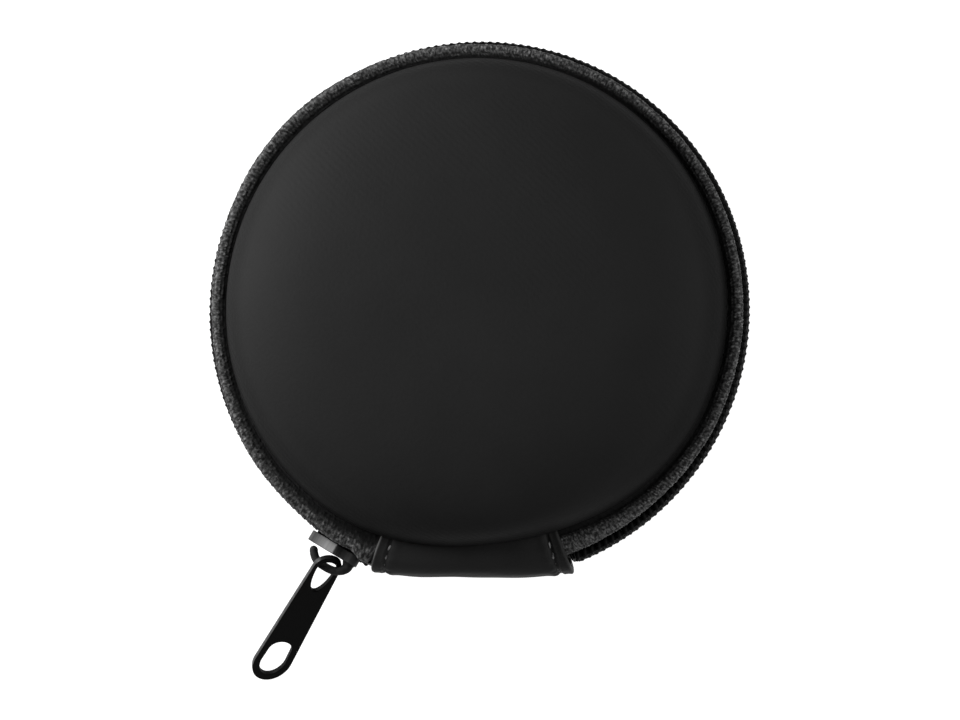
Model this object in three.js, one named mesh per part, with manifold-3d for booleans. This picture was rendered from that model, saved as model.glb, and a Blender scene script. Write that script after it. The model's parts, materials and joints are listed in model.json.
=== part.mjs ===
// A round zippered carrying case for earphones: a base and a lid, each a leather cover over a foam
// shell with a fabric lining, joined by a leather hinge strip and closed by a coil zipper.
// Millimetres, +Z up. The origin is the centre of the face that the case rests on, the hinge is
// at -Y, and the zipper lies in the plane half way up.
import * as THREE from "three";
import { mergeVertices } from "three/addons/utils/BufferGeometryUtils.js";
import Module from "manifold-3d";

const wasm = await Module();
wasm.setup();

const DEG = THREE.MathUtils.DEG2RAD;

// Overall sizes
const THICKNESS = 35;
const MID = THICKNESS / 2; // height of the plane where the two halves meet
const ZIP_RADIUS = 40; // out to the tips of the zipper's coil
const RIM_RADIUS = 37; // outside of the cover at its rim
const RIM_HEIGHT = 5.6; // from the mid plane to the cover's rim
const CROWN_RADIUS = 20; // the flat middle of each half, where the rounded shoulder starts
const LID_CROWN = 0.5; // how much the middle of the lid bulges above its shoulder
const FLAT_SHARE = 0.05; // share of its radius that the wall is drawn in beside the hinge
const FLAT_CENTRE = 8; // degrees from the hinge, towards +X, to where it is drawn in most
const FLAT_REACH = { left: 46, right: 55 }; // degrees from there to where it is round again
const FLAT_HEIGHTS = [2.6, 5, 7, 15]; // from the mid plane: starts, full, full, ends
const CLEAR = 0.3; // gap kept between neighbours that touch

// Layers of each half, as the radius at the rim and the height at the crown, from the mid plane
const COVER = { rim: RIM_HEIGHT, outer: [RIM_RADIUS, MID], inner: [36.3, 16.8] };
const FOAM = { rim: 5.9, outer: [35.2, 16.5], inner: [33.4, 14.3] };
const LINING = { rim: 5.9, outer: [33.1, 14.0], inner: [32.5, 13.4] };

// Zipper
const TAPE_INNER = 37.7; // back of the tape behind the coil
const TAPE_OUTER = 38.25; // front of the tape behind the coil
const ROLL_RADIUS = 39.2; // the tape's rounded fold between the coil and the cover
const ROLL_HEIGHT = 4.2;
const COIL_GAP = 0.4; // half the gap between the lid's coil and the base's
const COIL_HEIGHT = 2.15;
const COIL_INNER = 38.55;

// Hinge strip, in degrees from straight back towards -Y, positive towards +X
const HINGE_CENTRE = -1.3;
const HINGE_HALF = 21.3;
const STRIP_THICKNESS = 0.8;
const STRIP_HALF_HEIGHT = 5.3;
const STRIP_ROOT = 36.5; // radius where the strip starts, under the cover's rim
const STRIP_END_RADIUS = { left: 41.45, right: 41.1 }; // outside of the strip at its folded ends
const STRIP_MIDDLE_RADIUS = 39.55; // outside of the strip in its middle, where it runs nearly straight
const STRIP_DEPTH = STRIP_END_RADIUS.right - STRIP_ROOT;
const STRIP_SQUARENESS = 1.75; // how soon its middle turns into its ends
const STRIP_SHOULDER = 0.72; // under 1, its section has squared shoulders
const STITCH_INSET = 2.8; // degrees from a strip end to its row of stitches
const THREAD = 0.4;

// Slider and pull tab
const SLIDER_ANGLE = -31.2; // degrees from the hinge, with the zipper closed
const SLIDER_LENGTH = 8;
const SLIDER_HALF_WIDTH = 2.9;
const OUTER_PLATE = [40.7, 42]; // radii of its faces
const INNER_PLATE = [36.1, 37.15];
const PIVOT_RADIUS = 44.25; // centre of the bail's wire, which the pull tab hangs on
const WIRE = 1; // diameter of the bail's wire
const TAB_LENGTH = 27.7;
const TAB_EYE_END = 2.2; // from the wire's centre to the tab's near end
const TAB_THICKNESS = 0.8;
const TAB_TOP_WIDTH = 4.3;
const TAB_END_WIDTH = 6.1;
const TAB_DROOP = 41.2; // degrees that the tab hangs down, to the surface that the case lies on
const TAB_ROLL = 40; // it lies tilted on the wire, its left edge up
const TAB_YAW = 6; // and a little askew

// Facets
const COVER_SIDES = 44;
const INNER_SIDES = 30;
const SHOULDER_STEPS = 5;
const ARC_STEP = 9; // degrees to a facet along the zipper and hinge

const group = new THREE.Group();
group.name = "headphone_case";

// ---------------------------------------------------------------- materials

const leather = { color: 0x1a1a1b, roughness: 0.55, metalness: 0 };
const fabric = { color: 0x2b2b2d, roughness: 0.95, metalness: 0 };
const foamLook = { color: 0x303033, roughness: 0.9, metalness: 0 };
const nylon = { color: 0x0b0b0c, roughness: 0.4, metalness: 0 };
const net = { color: 0x151516, roughness: 0.9, metalness: 0 };
const thread = { color: 0x55555a, roughness: 0.7, metalness: 0 };
const blackMetal = { color: 0x0c0c0d, roughness: 0.35, metalness: 0.6 };

function piece(name, geometry, look, parent = group) {
  const mesh = new THREE.Mesh(geometry, new THREE.MeshStandardMaterial(look));
  mesh.name = name;
  parent.add(mesh);
  return mesh;
}

// ---------------------------------------------------------------- shared shapes

// Angle of a point from the hinge, in degrees
function angleFromHinge(x, y) {
  return Math.atan2(x, -y) / DEG;
}

// Share of its radius that a point keeps where the wall is drawn in beside the hinge
function flatShare(x, y, z) {
  const angle = angleFromHinge(x, y) - FLAT_CENTRE;
  const share = angle < 0 ? -angle / FLAT_REACH.left : angle / FLAT_REACH.right;
  if (share > 1) return 1;
  const [starts, full, fades, ends] = FLAT_HEIGHTS;
  const height = Math.abs(z - MID);
  const { smoothstep } = THREE.MathUtils;
  const strength = smoothstep(height, starts, full) * (1 - smoothstep(height, fades, ends));
  return 1 - FLAT_SHARE * strength * Math.cos(share * 90 * DEG) ** 2;
}

// Moves every vertex to the place that move(vertex) gives it
function reshape(geometry, move) {
  const position = geometry.getAttribute("position");
  const vertex = new THREE.Vector3();
  for (let i = 0; i < position.count; i++) {
    move(vertex.fromBufferAttribute(position, i));
    position.setXYZ(i, vertex.x, vertex.y, vertex.z);
  }
  geometry.computeVertexNormals();
  return geometry;
}

function pressFlat(geometry) {
  return reshape(geometry, (v) => {
    const share = flatShare(v.x, v.y, v.z);
    v.x *= share;
    v.y *= share;
  });
}

// side is 1 for the lid and -1 for the base: heights are measured from the mid plane
function revolve(points, side, sides) {
  const profile = points.map(([radius, height]) => new THREE.Vector2(radius, MID + side * height));
  if (side > 0) profile.reverse();
  const turned = new THREE.LatheGeometry(profile, sides).rotateX(90 * DEG);
  return pressFlat(turned);
}

// From the crown's centre over the rounded shoulder down to the rim
function domeLine([rimRadius, crownHeight], rim, crown) {
  const line = [[0, crownHeight]];
  for (let i = 0; i <= SHOULDER_STEPS; i++) {
    const turn = (i / SHOULDER_STEPS) * 90 * DEG;
    const radius = CROWN_RADIUS + (rimRadius - CROWN_RADIUS) * Math.sin(turn);
    line.push([radius, rim + (crownHeight - crown - rim) * Math.cos(turn)]);
  }
  return line;
}

// One layer of a half: a bowl between its outer and inner dome lines
function bowl(layer, side, sides) {
  const crown = side > 0 ? LID_CROWN : 0;
  const outer = domeLine(layer.outer, layer.rim, crown);
  const inner = domeLine(layer.inner, layer.rim, crown).reverse();
  return revolve([...outer, ...inner], side, sides);
}

class RingArc extends THREE.Curve {
  constructor(from, to) {
    super();
    this.from = from;
    this.to = to;
  }

  // Degrees from the hinge, turning towards +X
  getPoint(t, target = new THREE.Vector3()) {
    const angle = (this.from + (this.to - this.from) * t - 90) * DEG;
    return target.set(ZIP_RADIUS * Math.cos(angle), ZIP_RADIUS * Math.sin(angle), MID);
  }
}

// A closed outline of [radius, height] points swept along the ring between two angles
function sweepRing(outline, side, from, to) {
  const shape = new THREE.Shape(
    outline.map(([radius, height]) => new THREE.Vector2(-side * height, ZIP_RADIUS - radius)),
  );
  const steps = Math.max(1, Math.round((to - from) / ARC_STEP));
  return new THREE.ExtrudeGeometry(shape, { steps, extrudePath: new RingArc(from, to) });
}

function rectangle(inner, outer, low, high) {
  return [
    [inner, low],
    [outer, low],
    [outer, high],
    [inner, high],
  ];
}

function toSolid(geometry) {
  const bare = geometry.clone();
  bare.deleteAttribute("normal");
  bare.deleteAttribute("uv");
  const merged = mergeVertices(bare, 1e-4);
  return new wasm.Manifold(
    new wasm.Mesh({
      numProp: 3,
      vertProperties: new Float32Array(merged.getAttribute("position").array),
      triVerts: new Uint32Array(merged.index.array),
    }),
  );
}

function toGeometry(solid) {
  const mesh = solid.getMesh();
  const made = new THREE.BufferGeometry();
  made.setAttribute("position", new THREE.BufferAttribute(mesh.vertProperties, mesh.numProp));
  made.setIndex(new THREE.BufferAttribute(mesh.triVerts, 1));
  made.computeVertexNormals();
  return made;
}

// ---------------------------------------------------------------- the two halves

const SEAM_HEIGHT = 7.3; // the tape is glued in this far up, between the cover and the foam
// From the coil up over the tape's rounded fold to the seam, and back along its inside
const TAPE_OUTLINE = [
  [TAPE_INNER, COIL_GAP],
  [TAPE_OUTER, COIL_GAP],
  [TAPE_OUTER, 2.5],
  [ROLL_RADIUS - 0.35, 3.5],
  [ROLL_RADIUS, ROLL_HEIGHT],
  [ROLL_RADIUS - 0.35, 4.9],
  [35.95, RIM_HEIGHT - CLEAR],
  [35.68, SEAM_HEIGHT],
  [35.38, SEAM_HEIGHT],
  [35.55, 4.8],
  [37.8, 4.7],
  [ROLL_RADIUS - 0.6, ROLL_HEIGHT],
  [37.95, 3.3],
  [TAPE_INNER, 2.5],
];
const COIL_OUTLINE = rectangle(COIL_INNER, ZIP_RADIUS, COIL_GAP, COIL_HEIGHT);
const STOP_OUTLINE = rectangle(COIL_INNER, ZIP_RADIUS - 0.1, COIL_GAP, COIL_HEIGHT);
const BINDING_INNER = 31.5;
const BINDING_OUTER = 35.05;
const BINDING_THICKNESS = 0.5;
const BINDING_FACE = 4.9; // from the mid plane
const BINDING_LIP = 7.2;
const BINDING_OUTLINE = [
  [BINDING_INNER, BINDING_FACE],
  [BINDING_OUTER, BINDING_FACE],
  [BINDING_OUTER, RIM_HEIGHT],
  [BINDING_INNER + BINDING_THICKNESS, RIM_HEIGHT],
  [BINDING_INNER + BINDING_THICKNESS, BINDING_LIP],
  [BINDING_INNER, BINDING_LIP],
];

// The zipper runs from beside the strip's right end, round the front, to beside its left end
const GAP_ANGLE = 0.43;
const STOP_ANGLE = 1.3;
const RIGHT_END = HINGE_CENTRE + HINGE_HALF + GAP_ANGLE;
const LEFT_END = 360 + HINGE_CENTRE - HINGE_HALF - GAP_ANGLE;
const RIGHT_COIL_END = RIGHT_END + STOP_ANGLE + GAP_ANGLE;
const LEFT_COIL_END = LEFT_END - STOP_ANGLE - GAP_ANGLE;
// The lid's zipper flexes between each end and this angle from the hinge when the lid opens
const FLEX_ANGLE = 44;

for (const [half, side] of [
  ["base", -1],
  ["lid", 1],
]) {
  piece(half + "_cover", bowl(COVER, side, COVER_SIDES), leather);
  piece(half + "_foam", bowl(FOAM, side, INNER_SIDES), foamLook);
  piece(half + "_lining", bowl(LINING, side, INNER_SIDES), fabric);
  const binding = revolve([...BINDING_OUTLINE, BINDING_OUTLINE[0]].reverse(), side, INNER_SIDES);
  piece(half + "_edge_binding", binding, fabric);
}

function zipLength(name, outline, side, from, to, look) {
  piece(name, pressFlat(sweepRing(outline, side, from, to)), look);
}

zipLength("base_zip_tape", TAPE_OUTLINE, -1, RIGHT_END, LEFT_END, fabric);
zipLength("base_zip_coil", COIL_OUTLINE, -1, RIGHT_COIL_END, LEFT_COIL_END, nylon);
zipLength("base_top_stop", STOP_OUTLINE, -1, LEFT_END - STOP_ANGLE, LEFT_END, blackMetal);
const bothCoils = rectangle(COIL_INNER, ZIP_RADIUS - 0.1, -COIL_HEIGHT, COIL_HEIGHT);
zipLength("zip_bottom_stop", bothCoils, 1, RIGHT_END, RIGHT_END + STOP_ANGLE, blackMetal);

const FLEX_LEFT = 360 - FLEX_ANGLE;
zipLength("lid_zip_tape", TAPE_OUTLINE, 1, FLEX_ANGLE, FLEX_LEFT, fabric);
zipLength("lid_zip_coil", COIL_OUTLINE, 1, FLEX_ANGLE, FLEX_LEFT, nylon);
zipLength("lid_tape_end_right", TAPE_OUTLINE, 1, RIGHT_END, FLEX_ANGLE - GAP_ANGLE, fabric);
zipLength("lid_coil_end_right", COIL_OUTLINE, 1, RIGHT_COIL_END, FLEX_ANGLE - GAP_ANGLE, nylon);
zipLength("lid_tape_end_left", TAPE_OUTLINE, 1, FLEX_LEFT + GAP_ANGLE, LEFT_END, fabric);
zipLength("lid_coil_end_left", COIL_OUTLINE, 1, FLEX_LEFT + GAP_ANGLE, LEFT_COIL_END, nylon);
zipLength("lid_top_stop", STOP_OUTLINE, 1, LEFT_END - STOP_ANGLE, LEFT_END, blackMetal);

// ---------------------------------------------------------------- mesh pocket in the lid

const POCKET_RADIUS = 31.3;
const POCKET_HEIGHT = 7.6; // above the mid plane
const POCKET_THICKNESS = 0.5;
const POCKET_MOUTH = 8; // the net covers the lid from the hinge up to this line
const ELASTIC_WIDTH = 2.5;
const ELASTIC_THICKNESS = 0.6;

function meshPocket() {
  const mouth = Math.asin(POCKET_MOUTH / POCKET_RADIUS);
  const shape = new THREE.Shape();
  shape.absarc(0, 0, POCKET_RADIUS, Math.PI - mouth, mouth, false);
  const panel = new THREE.ExtrudeGeometry(shape, {
    depth: POCKET_THICKNESS,
    bevelEnabled: false,
    curveSegments: INNER_SIDES,
  });
  return pressFlat(panel.translate(0, 0, MID + POCKET_HEIGHT));
}

piece("mesh_pocket", meshPocket(), net);
const elasticEdge = POCKET_MOUTH + CLEAR + ELASTIC_WIDTH;
const elasticLength = 2 * Math.sqrt(POCKET_RADIUS ** 2 - elasticEdge ** 2);
const elastic = piece(
  "pocket_elastic",
  new THREE.BoxGeometry(elasticLength, ELASTIC_WIDTH, ELASTIC_THICKNESS),
  fabric,
);
elastic.position.set(0, elasticEdge - ELASTIC_WIDTH / 2, MID + POCKET_HEIGHT + POCKET_THICKNESS / 2);

// ---------------------------------------------------------------- hinge

// Outside radius of the strip at an angle: straight in the middle, standing out at the ends
function stripOuter(angle) {
  const share = (angle - HINGE_CENTRE) / HINGE_HALF;
  const end = share < 0 ? STRIP_END_RADIUS.left : STRIP_END_RADIUS.right;
  const rise = 1 - Math.max(0, 1 - share ** 2) ** STRIP_SQUARENESS;
  return STRIP_MIDDLE_RADIUS + (end - STRIP_MIDDLE_RADIUS) * rise;
}

// A rounded half tube between the two rims, with squared shoulders
function stripLine(depth, halfHeight, steps) {
  const line = [];
  for (let i = 0; i <= steps; i++) {
    const turn = (-90 + (180 * i) / steps) * DEG;
    const across = Math.max(0, Math.cos(turn)) ** STRIP_SHOULDER;
    const along = Math.sign(turn) * Math.abs(Math.sin(turn)) ** STRIP_SHOULDER;
    line.push([STRIP_ROOT + depth * across, halfHeight * along]);
  }
  return line;
}

// Radius where the strip starts at an angle, following the drawn-in rim
function stripRoot(x, y) {
  return STRIP_ROOT * flatShare(x, y, MID + RIM_HEIGHT);
}

// Gives a swept strip its true depth at each angle, from the drawn-in wall to stripOuter
function fitStrip(geometry) {
  return reshape(geometry, (v) => {
    const angle = angleFromHinge(v.x, v.y);
    const radius = Math.hypot(v.x, v.y);
    const root = stripRoot(v.x, v.y);
    const stretch = (stripOuter(angle) - root) / STRIP_DEPTH;
    const share = (root + (radius - STRIP_ROOT) * stretch) / radius;
    v.x *= share;
    v.y *= share;
  });
}

const STRIP_STEPS = 12;
const insideDepth = STRIP_DEPTH - STRIP_THICKNESS;
const stripOutline = [
  ...stripLine(STRIP_DEPTH, STRIP_HALF_HEIGHT, STRIP_STEPS),
  ...stripLine(insideDepth, STRIP_HALF_HEIGHT - STRIP_THICKNESS, STRIP_STEPS).reverse(),
];
const hingeFrom = HINGE_CENTRE - HINGE_HALF;
const hingeTo = HINGE_CENTRE + HINGE_HALF;
piece("hinge_strip", fitStrip(sweepRing(stripOutline, 1, hingeFrom, hingeTo)), leather);

// The inner panel closes the gap between the two linings behind the strip
const PANEL_EDGE = 34.2; // radius of its upper and lower edges
const PANEL_MIDDLE = 35.2;
const PANEL_HALF_HEIGHT = 4.5;
const PANEL_THICKNESS = 0.6;
const INNER_PANEL_OUTLINE = [
  [PANEL_EDGE, -PANEL_HALF_HEIGHT],
  [PANEL_EDGE + PANEL_THICKNESS, -PANEL_HALF_HEIGHT],
  [PANEL_MIDDLE + PANEL_THICKNESS, 0],
  [PANEL_EDGE + PANEL_THICKNESS, PANEL_HALF_HEIGHT],
  [PANEL_EDGE, PANEL_HALF_HEIGHT],
  [PANEL_MIDDLE, 0],
];
const panel = sweepRing(INNER_PANEL_OUTLINE, 1, hingeFrom, hingeTo);
piece("hinge_lining", pressFlat(panel), fabric);

// One row of stitches: a thread over the outside of the strip
function stitchRow(angle) {
  const lift = CLEAR + THREAD / 2;
  const outside = stripLine(STRIP_DEPTH + lift, STRIP_HALF_HEIGHT + lift, STRIP_STEPS);
  const line = outside.filter(([, height]) => Math.abs(height) < STRIP_HALF_HEIGHT);
  const turn = (angle - 90) * DEG;
  const root = stripRoot(Math.cos(turn), Math.sin(turn));
  const stretch = (stripOuter(angle) - root) / STRIP_DEPTH;
  const points = line.map(([radius, height]) => {
    const fitted = root + (radius - STRIP_ROOT) * stretch;
    return new THREE.Vector3(fitted * Math.cos(turn), fitted * Math.sin(turn), MID + height);
  });
  const section = new THREE.Shape();
  section.absarc(0, 0, THREAD / 2, 0, 2 * Math.PI, false);
  return new THREE.ExtrudeGeometry(section, {
    steps: 16,
    curveSegments: 3,
    extrudePath: new THREE.CatmullRomCurve3(points),
  });
}

piece("hinge_stitch_left", stitchRow(hingeFrom + STITCH_INSET), thread);
piece("hinge_stitch_right", stitchRow(hingeTo - STITCH_INSET), thread);

// ---------------------------------------------------------------- slider

// In the slider's group +X points outwards, +Y along the zipper towards the hinge, +Z up
const slider = new THREE.Group();
slider.position.z = MID;
slider.rotation.z = (SLIDER_ANGLE - 90) * DEG;
group.add(slider);

const PLATE_CORNER = 1.2;
const FLANGE_THICKNESS = 0.45;
const FLANGE_TIP = 38.75;
const FLANGE_LENGTH = 5.6;
const POST_THICKNESS = 0.3;
const POST_LENGTH = 1.6;

function plate([near, far]) {
  const halfLength = SLIDER_LENGTH / 2;
  const x = halfLength - PLATE_CORNER;
  const y = SLIDER_HALF_WIDTH - PLATE_CORNER;
  const shape = new THREE.Shape();
  shape.absarc(x, y, PLATE_CORNER, 0, 90 * DEG, false);
  shape.absarc(-x, y, PLATE_CORNER, 90 * DEG, 180 * DEG, false);
  shape.absarc(-x, -y, PLATE_CORNER, 180 * DEG, 270 * DEG, false);
  shape.absarc(x, -y, PLATE_CORNER, 270 * DEG, 360 * DEG, false);
  const flat = new THREE.ExtrudeGeometry(shape, {
    depth: far - near,
    bevelEnabled: false,
    curveSegments: 4,
  });
  // The drawing's x runs along the zipper, its y is up, and it is as thick as the plate outwards
  flat.rotateX(90 * DEG).rotateZ(90 * DEG);
  return flat.translate(near, 0, 0);
}

function block(fromX, toX, centreY, lengthY, centreZ, lengthZ) {
  const made = new THREE.BoxGeometry(toX - fromX, lengthY, lengthZ);
  return made.translate((fromX + toX) / 2, centreY, centreZ);
}

function sliderBody() {
  const overlap = 0.2;
  const flangeZ = SLIDER_HALF_WIDTH - FLANGE_THICKNESS / 2;
  const postY = SLIDER_LENGTH / 2 - POST_LENGTH / 2 - overlap;
  const parts = [
    plate(INNER_PLATE),
    block(FLANGE_TIP, OUTER_PLATE[0] + overlap, 0, FLANGE_LENGTH, flangeZ, FLANGE_THICKNESS),
    block(FLANGE_TIP, OUTER_PLATE[0] + overlap, 0, FLANGE_LENGTH, -flangeZ, FLANGE_THICKNESS),
    block(INNER_PLATE[1] - overlap, OUTER_PLATE[0] + overlap, postY, POST_LENGTH, 0, POST_THICKNESS),
  ];
  const joined = parts.reduce((whole, part) => whole.add(toSolid(part)), toSolid(plate(OUTER_PLATE)));
  return toGeometry(joined);
}

piece("slider_body", sliderBody(), blackMetal, slider);

// The bail is a hook of wire: from its root at the slider's nose, out and along, and part way back
const BAIL_POINTS = [
  [OUTER_PLATE[1] + CLEAR, 2.85],
  [43, 2.75],
  [43.75, 2.3],
  [44.2, 1.5],
  [PIVOT_RADIUS, 0.5],
  [PIVOT_RADIUS, -0.8],
  [44.05, -1.75],
  [43.5, -2.45],
  [OUTER_PLATE[1] + 1, -2.7],
];

function bailLine() {
  return new THREE.CatmullRomCurve3(BAIL_POINTS.map(([x, y]) => new THREE.Vector3(x, y, 0)));
}

function bail() {
  const section = new THREE.Shape();
  section.absarc(0, 0, WIRE / 2, 0, 2 * Math.PI, false);
  return new THREE.ExtrudeGeometry(section, { steps: 20, curveSegments: 5, extrudePath: bailLine() });
}

piece("slider_bail", bail(), blackMetal, slider);

// ---------------------------------------------------------------- pull tab

const pull = new THREE.Group();
pull.position.x = PIVOT_RADIUS;
pull.rotation.set(-TAB_ROLL * DEG, TAB_DROOP * DEG, -TAB_YAW * DEG, "ZYX");
slider.add(pull);

const EYE_HALF_WIDTH = 1.5;
const EYE_FROM = -1.5; // along the tab from the wire's centre
const EYE_TO = 4.6;
const EYE_FULLNESS = 2.9; // how far its sides run nearly straight on from its round end
const EYE_POINT = 0.7; // half the width of its narrow end, where the sides turn in
const SLOT_LIMB = 1.12; // metal left on each side of the slot
const SLOT_FROM = 16.8;
const SLOT_TO = 24;
const SLOT_TOP_LENGTH = 1.9; // of its rounded end nearer the eye
const SLOT_TIP_LENGTH = 3; // of its rounded end nearer the tip
const SLOT_TAPER = 0.15; // how much narrower each side of it is near the eye
const TIP_LENGTH = 4; // of the tab's rounded tip

// The tab lies along X from its eye, in the XY plane
function pullTab() {
  const top = TAB_TOP_WIDTH / 2;
  const end = TAB_END_WIDTH / 2;
  const tip = TAB_LENGTH - TAB_EYE_END;
  const shape = new THREE.Shape();
  shape.absellipse(-TAB_EYE_END + top, 0, top, top, 90 * DEG, 270 * DEG, false);
  shape.absellipse(tip - TIP_LENGTH, 0, TIP_LENGTH, end, -90 * DEG, 90 * DEG, false);

  // The eye is a drop, round at the wire
  const round = EYE_FROM + EYE_HALF_WIDTH;
  const side = EYE_HALF_WIDTH;
  const eye = new THREE.Path();
  eye.absarc(round, 0, side, 90 * DEG, 270 * DEG, false);
  eye.bezierCurveTo(round + EYE_FULLNESS, -side, EYE_TO, -EYE_POINT, EYE_TO, 0);
  eye.bezierCurveTo(EYE_TO, EYE_POINT, round + EYE_FULLNESS, side, round, side);

  const slotHalf = end - SLOT_LIMB;
  const topHalf = slotHalf - SLOT_TAPER;
  const topLength = SLOT_TOP_LENGTH;
  const tipLength = SLOT_TIP_LENGTH;
  const slot = new THREE.Path();
  slot.absellipse(SLOT_FROM + topLength, 0, topLength, topHalf, 90 * DEG, 270 * DEG, false);
  slot.absellipse(SLOT_TO - tipLength, 0, tipLength, slotHalf, -90 * DEG, 90 * DEG, false);

  shape.holes.push(eye, slot);
  const made = new THREE.ExtrudeGeometry(shape, {
    depth: TAB_THICKNESS,
    bevelEnabled: false,
    curveSegments: 10,
  });
  return made.translate(0, 0, -TAB_THICKNESS / 2);
}

piece("pull_tab", pullTab(), blackMetal, pull);

export default group;
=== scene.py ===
"""A round zippered carrying case: its finished surfaces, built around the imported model.

Shapes are worked out in millimetres and turned into metres when a mesh is made. An angle is in
degrees from the hinge, which is towards -Y, and positive towards +X. A height is measured from
the mid plane where the two halves meet, and is positive on the lid's side.
"""
import json
import math

import bpy
import numpy as np
from mathutils import Matrix, Vector


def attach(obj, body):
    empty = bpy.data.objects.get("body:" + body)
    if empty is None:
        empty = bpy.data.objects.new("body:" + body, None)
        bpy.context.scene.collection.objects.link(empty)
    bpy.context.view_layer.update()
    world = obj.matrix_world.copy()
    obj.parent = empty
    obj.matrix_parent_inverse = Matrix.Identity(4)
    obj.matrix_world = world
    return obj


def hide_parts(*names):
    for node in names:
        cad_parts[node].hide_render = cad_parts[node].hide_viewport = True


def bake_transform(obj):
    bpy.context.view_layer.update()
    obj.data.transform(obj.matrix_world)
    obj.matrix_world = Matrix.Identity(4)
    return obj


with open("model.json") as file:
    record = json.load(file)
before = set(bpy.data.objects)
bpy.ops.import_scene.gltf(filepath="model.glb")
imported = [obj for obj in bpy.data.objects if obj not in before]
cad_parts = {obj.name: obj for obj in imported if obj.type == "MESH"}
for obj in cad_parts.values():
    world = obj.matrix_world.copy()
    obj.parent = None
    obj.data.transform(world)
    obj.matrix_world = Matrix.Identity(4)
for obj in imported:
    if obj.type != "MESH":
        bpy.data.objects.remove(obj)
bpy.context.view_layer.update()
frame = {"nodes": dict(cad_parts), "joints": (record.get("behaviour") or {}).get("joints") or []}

dice = np.random.default_rng(7)

# -------- sizes from the frame

MM = 0.001


def corners(node):
    """Every corner of a CAD node, in mm."""
    return np.array([v.co for v in frame["nodes"][node].data.vertices]) / MM


def radii(node):
    """The least and the greatest distance of a CAD node from the case's axis."""
    distance = np.hypot(*corners(node)[:, :2].T)
    return distance.min(), distance.max()


joints = {joint["name"]: joint for joint in frame["joints"]}
MID = joints["lid_open"]["pos_m"][2] / MM
HALF_THICKNESS = corners("lid_cover")[:, 2].max() - MID
RIM_RADIUS = radii("lid_cover")[1]
RIM_HEIGHT = corners("lid_cover")[:, 2].min() - MID
ZIP_RADIUS = radii("lid_zip_coil")[1]
PIVOT = np.array(joints["pull_swing"]["pos_m"]) / MM
PIVOT_RADIUS = math.hypot(PIVOT[0], PIVOT[1])
SLIDER_ANGLE = math.degrees(math.atan2(PIVOT[0], -PIVOT[1]))

# The wall is drawn in beside the hinge, as in the CAD model
FLAT_SHARE = 0.05
FLAT_CENTRE = 8
FLAT_REACH = {"left": 46, "right": 55}
FLAT_HEIGHTS = (2.6, 5, 7, 15)
CROWN_RADIUS = 20  # the base rests on its flat middle, out to this radius

# Hinge strip
STRIP_CENTRE = -1.3
STRIP_HALF = 21.3
STRIP_FROM = STRIP_CENTRE - STRIP_HALF
STRIP_TO = STRIP_CENTRE + STRIP_HALF
STRIP_ROOT = 36.5
STRIP_END_RADIUS = {"left": 41.45, "right": 41.1}
STRIP_DEPTH = STRIP_END_RADIUS["right"] - STRIP_ROOT
STRIP_MIDDLE_RADIUS = 39.55
STRIP_SQUARENESS = 1.75  # how soon its straight middle turns into its ends
STRIP_SHOULDER = 0.72  # under 1, its section has squared shoulders
STRIP_HALF_HEIGHT = 5.3
STRIP_THICKNESS = 0.8
STITCH_INSET = 2.8

# Zipper
END_GAP = 0.43
STOP_ANGLE = 1.3
RIGHT_END = STRIP_TO + END_GAP
LEFT_END = 360 + STRIP_FROM - END_GAP
TAPE_TUCK = 3.2  # degrees of tape under each end of the strip
COIL_PITCH = 1.16
COIL_WIRE = 0.64
SLIDER_SPREAD = 5  # degrees over which the two coils part in front of the slider


# -------- points and lines

def unit(vectors):
    return vectors / np.linalg.norm(vectors, axis=-1, keepdims=True)


def smoothstep(x, low, high):
    t = np.clip((x - low) / (high - low), 0, 1)
    return t * t * (3 - 2 * t)


def bell(x, width):
    return np.exp(-((x / width) ** 2))


def powered(x, power):
    """A power that keeps the sign."""
    return np.sign(x) * np.abs(x) ** power


def joined(*axes):
    """Points or cloth coordinates from arrays of each axis."""
    return np.stack(np.broadcast_arrays(*axes), -1)


def drawn_in(angle, height):
    """Share of its radius that a point of the wall keeps beside the hinge."""
    away = (angle - FLAT_CENTRE + 180) % 360 - 180
    away = np.minimum(np.where(away < 0, -away / FLAT_REACH["left"], away / FLAT_REACH["right"]), 1)
    starts, full, fades, ends = FLAT_HEIGHTS
    h = np.abs(height)
    strength = smoothstep(h, starts, full) * (1 - smoothstep(h, fades, ends))
    return 1 - FLAT_SHARE * strength * np.cos(away * math.pi / 2) ** 2


def place(angle, radius, height):
    """Points from angle, radius and height, with no drawing in."""
    turn = np.radians(angle)
    return joined(radius * np.sin(turn), -radius * np.cos(turn), MID + height)


def on_wall(angle, radius, height):
    return place(angle, radius * drawn_in(angle, height), height)


def arc_lengths(line):
    steps = np.linalg.norm(np.diff(line, axis=0), axis=1)
    return np.concatenate([[0], np.cumsum(steps)])


def spaced(line, count=None, step=None):
    """The same line with evenly spaced points."""
    lengths = arc_lengths(line)
    count = count or max(2, round(lengths[-1] / step) + 1)
    wanted = np.linspace(0, lengths[-1], count)
    return np.stack([np.interp(wanted, lengths, axis) for axis in line.T], -1)


def curve_through(points, per_span=12):
    """A smooth line through a few points (Catmull-Rom)."""
    p = np.array(points, float)
    p = np.concatenate([[2 * p[0] - p[1]], p, [2 * p[-1] - p[-2]]])
    t = np.arange(per_span)[:, None] / per_span
    spans = []
    for a, b, c, d in zip(p, p[1:], p[2:], p[3:]):
        bend = (2 * a - 5 * b + 4 * c - d) * t**2 + (3 * b - a - 3 * c + d) * t**3
        spans.append(b + ((c - a) * t + bend) / 2)
    return np.concatenate([*spans, p[-2:-1]])


RIPPLE_WAVES = 7


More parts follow.
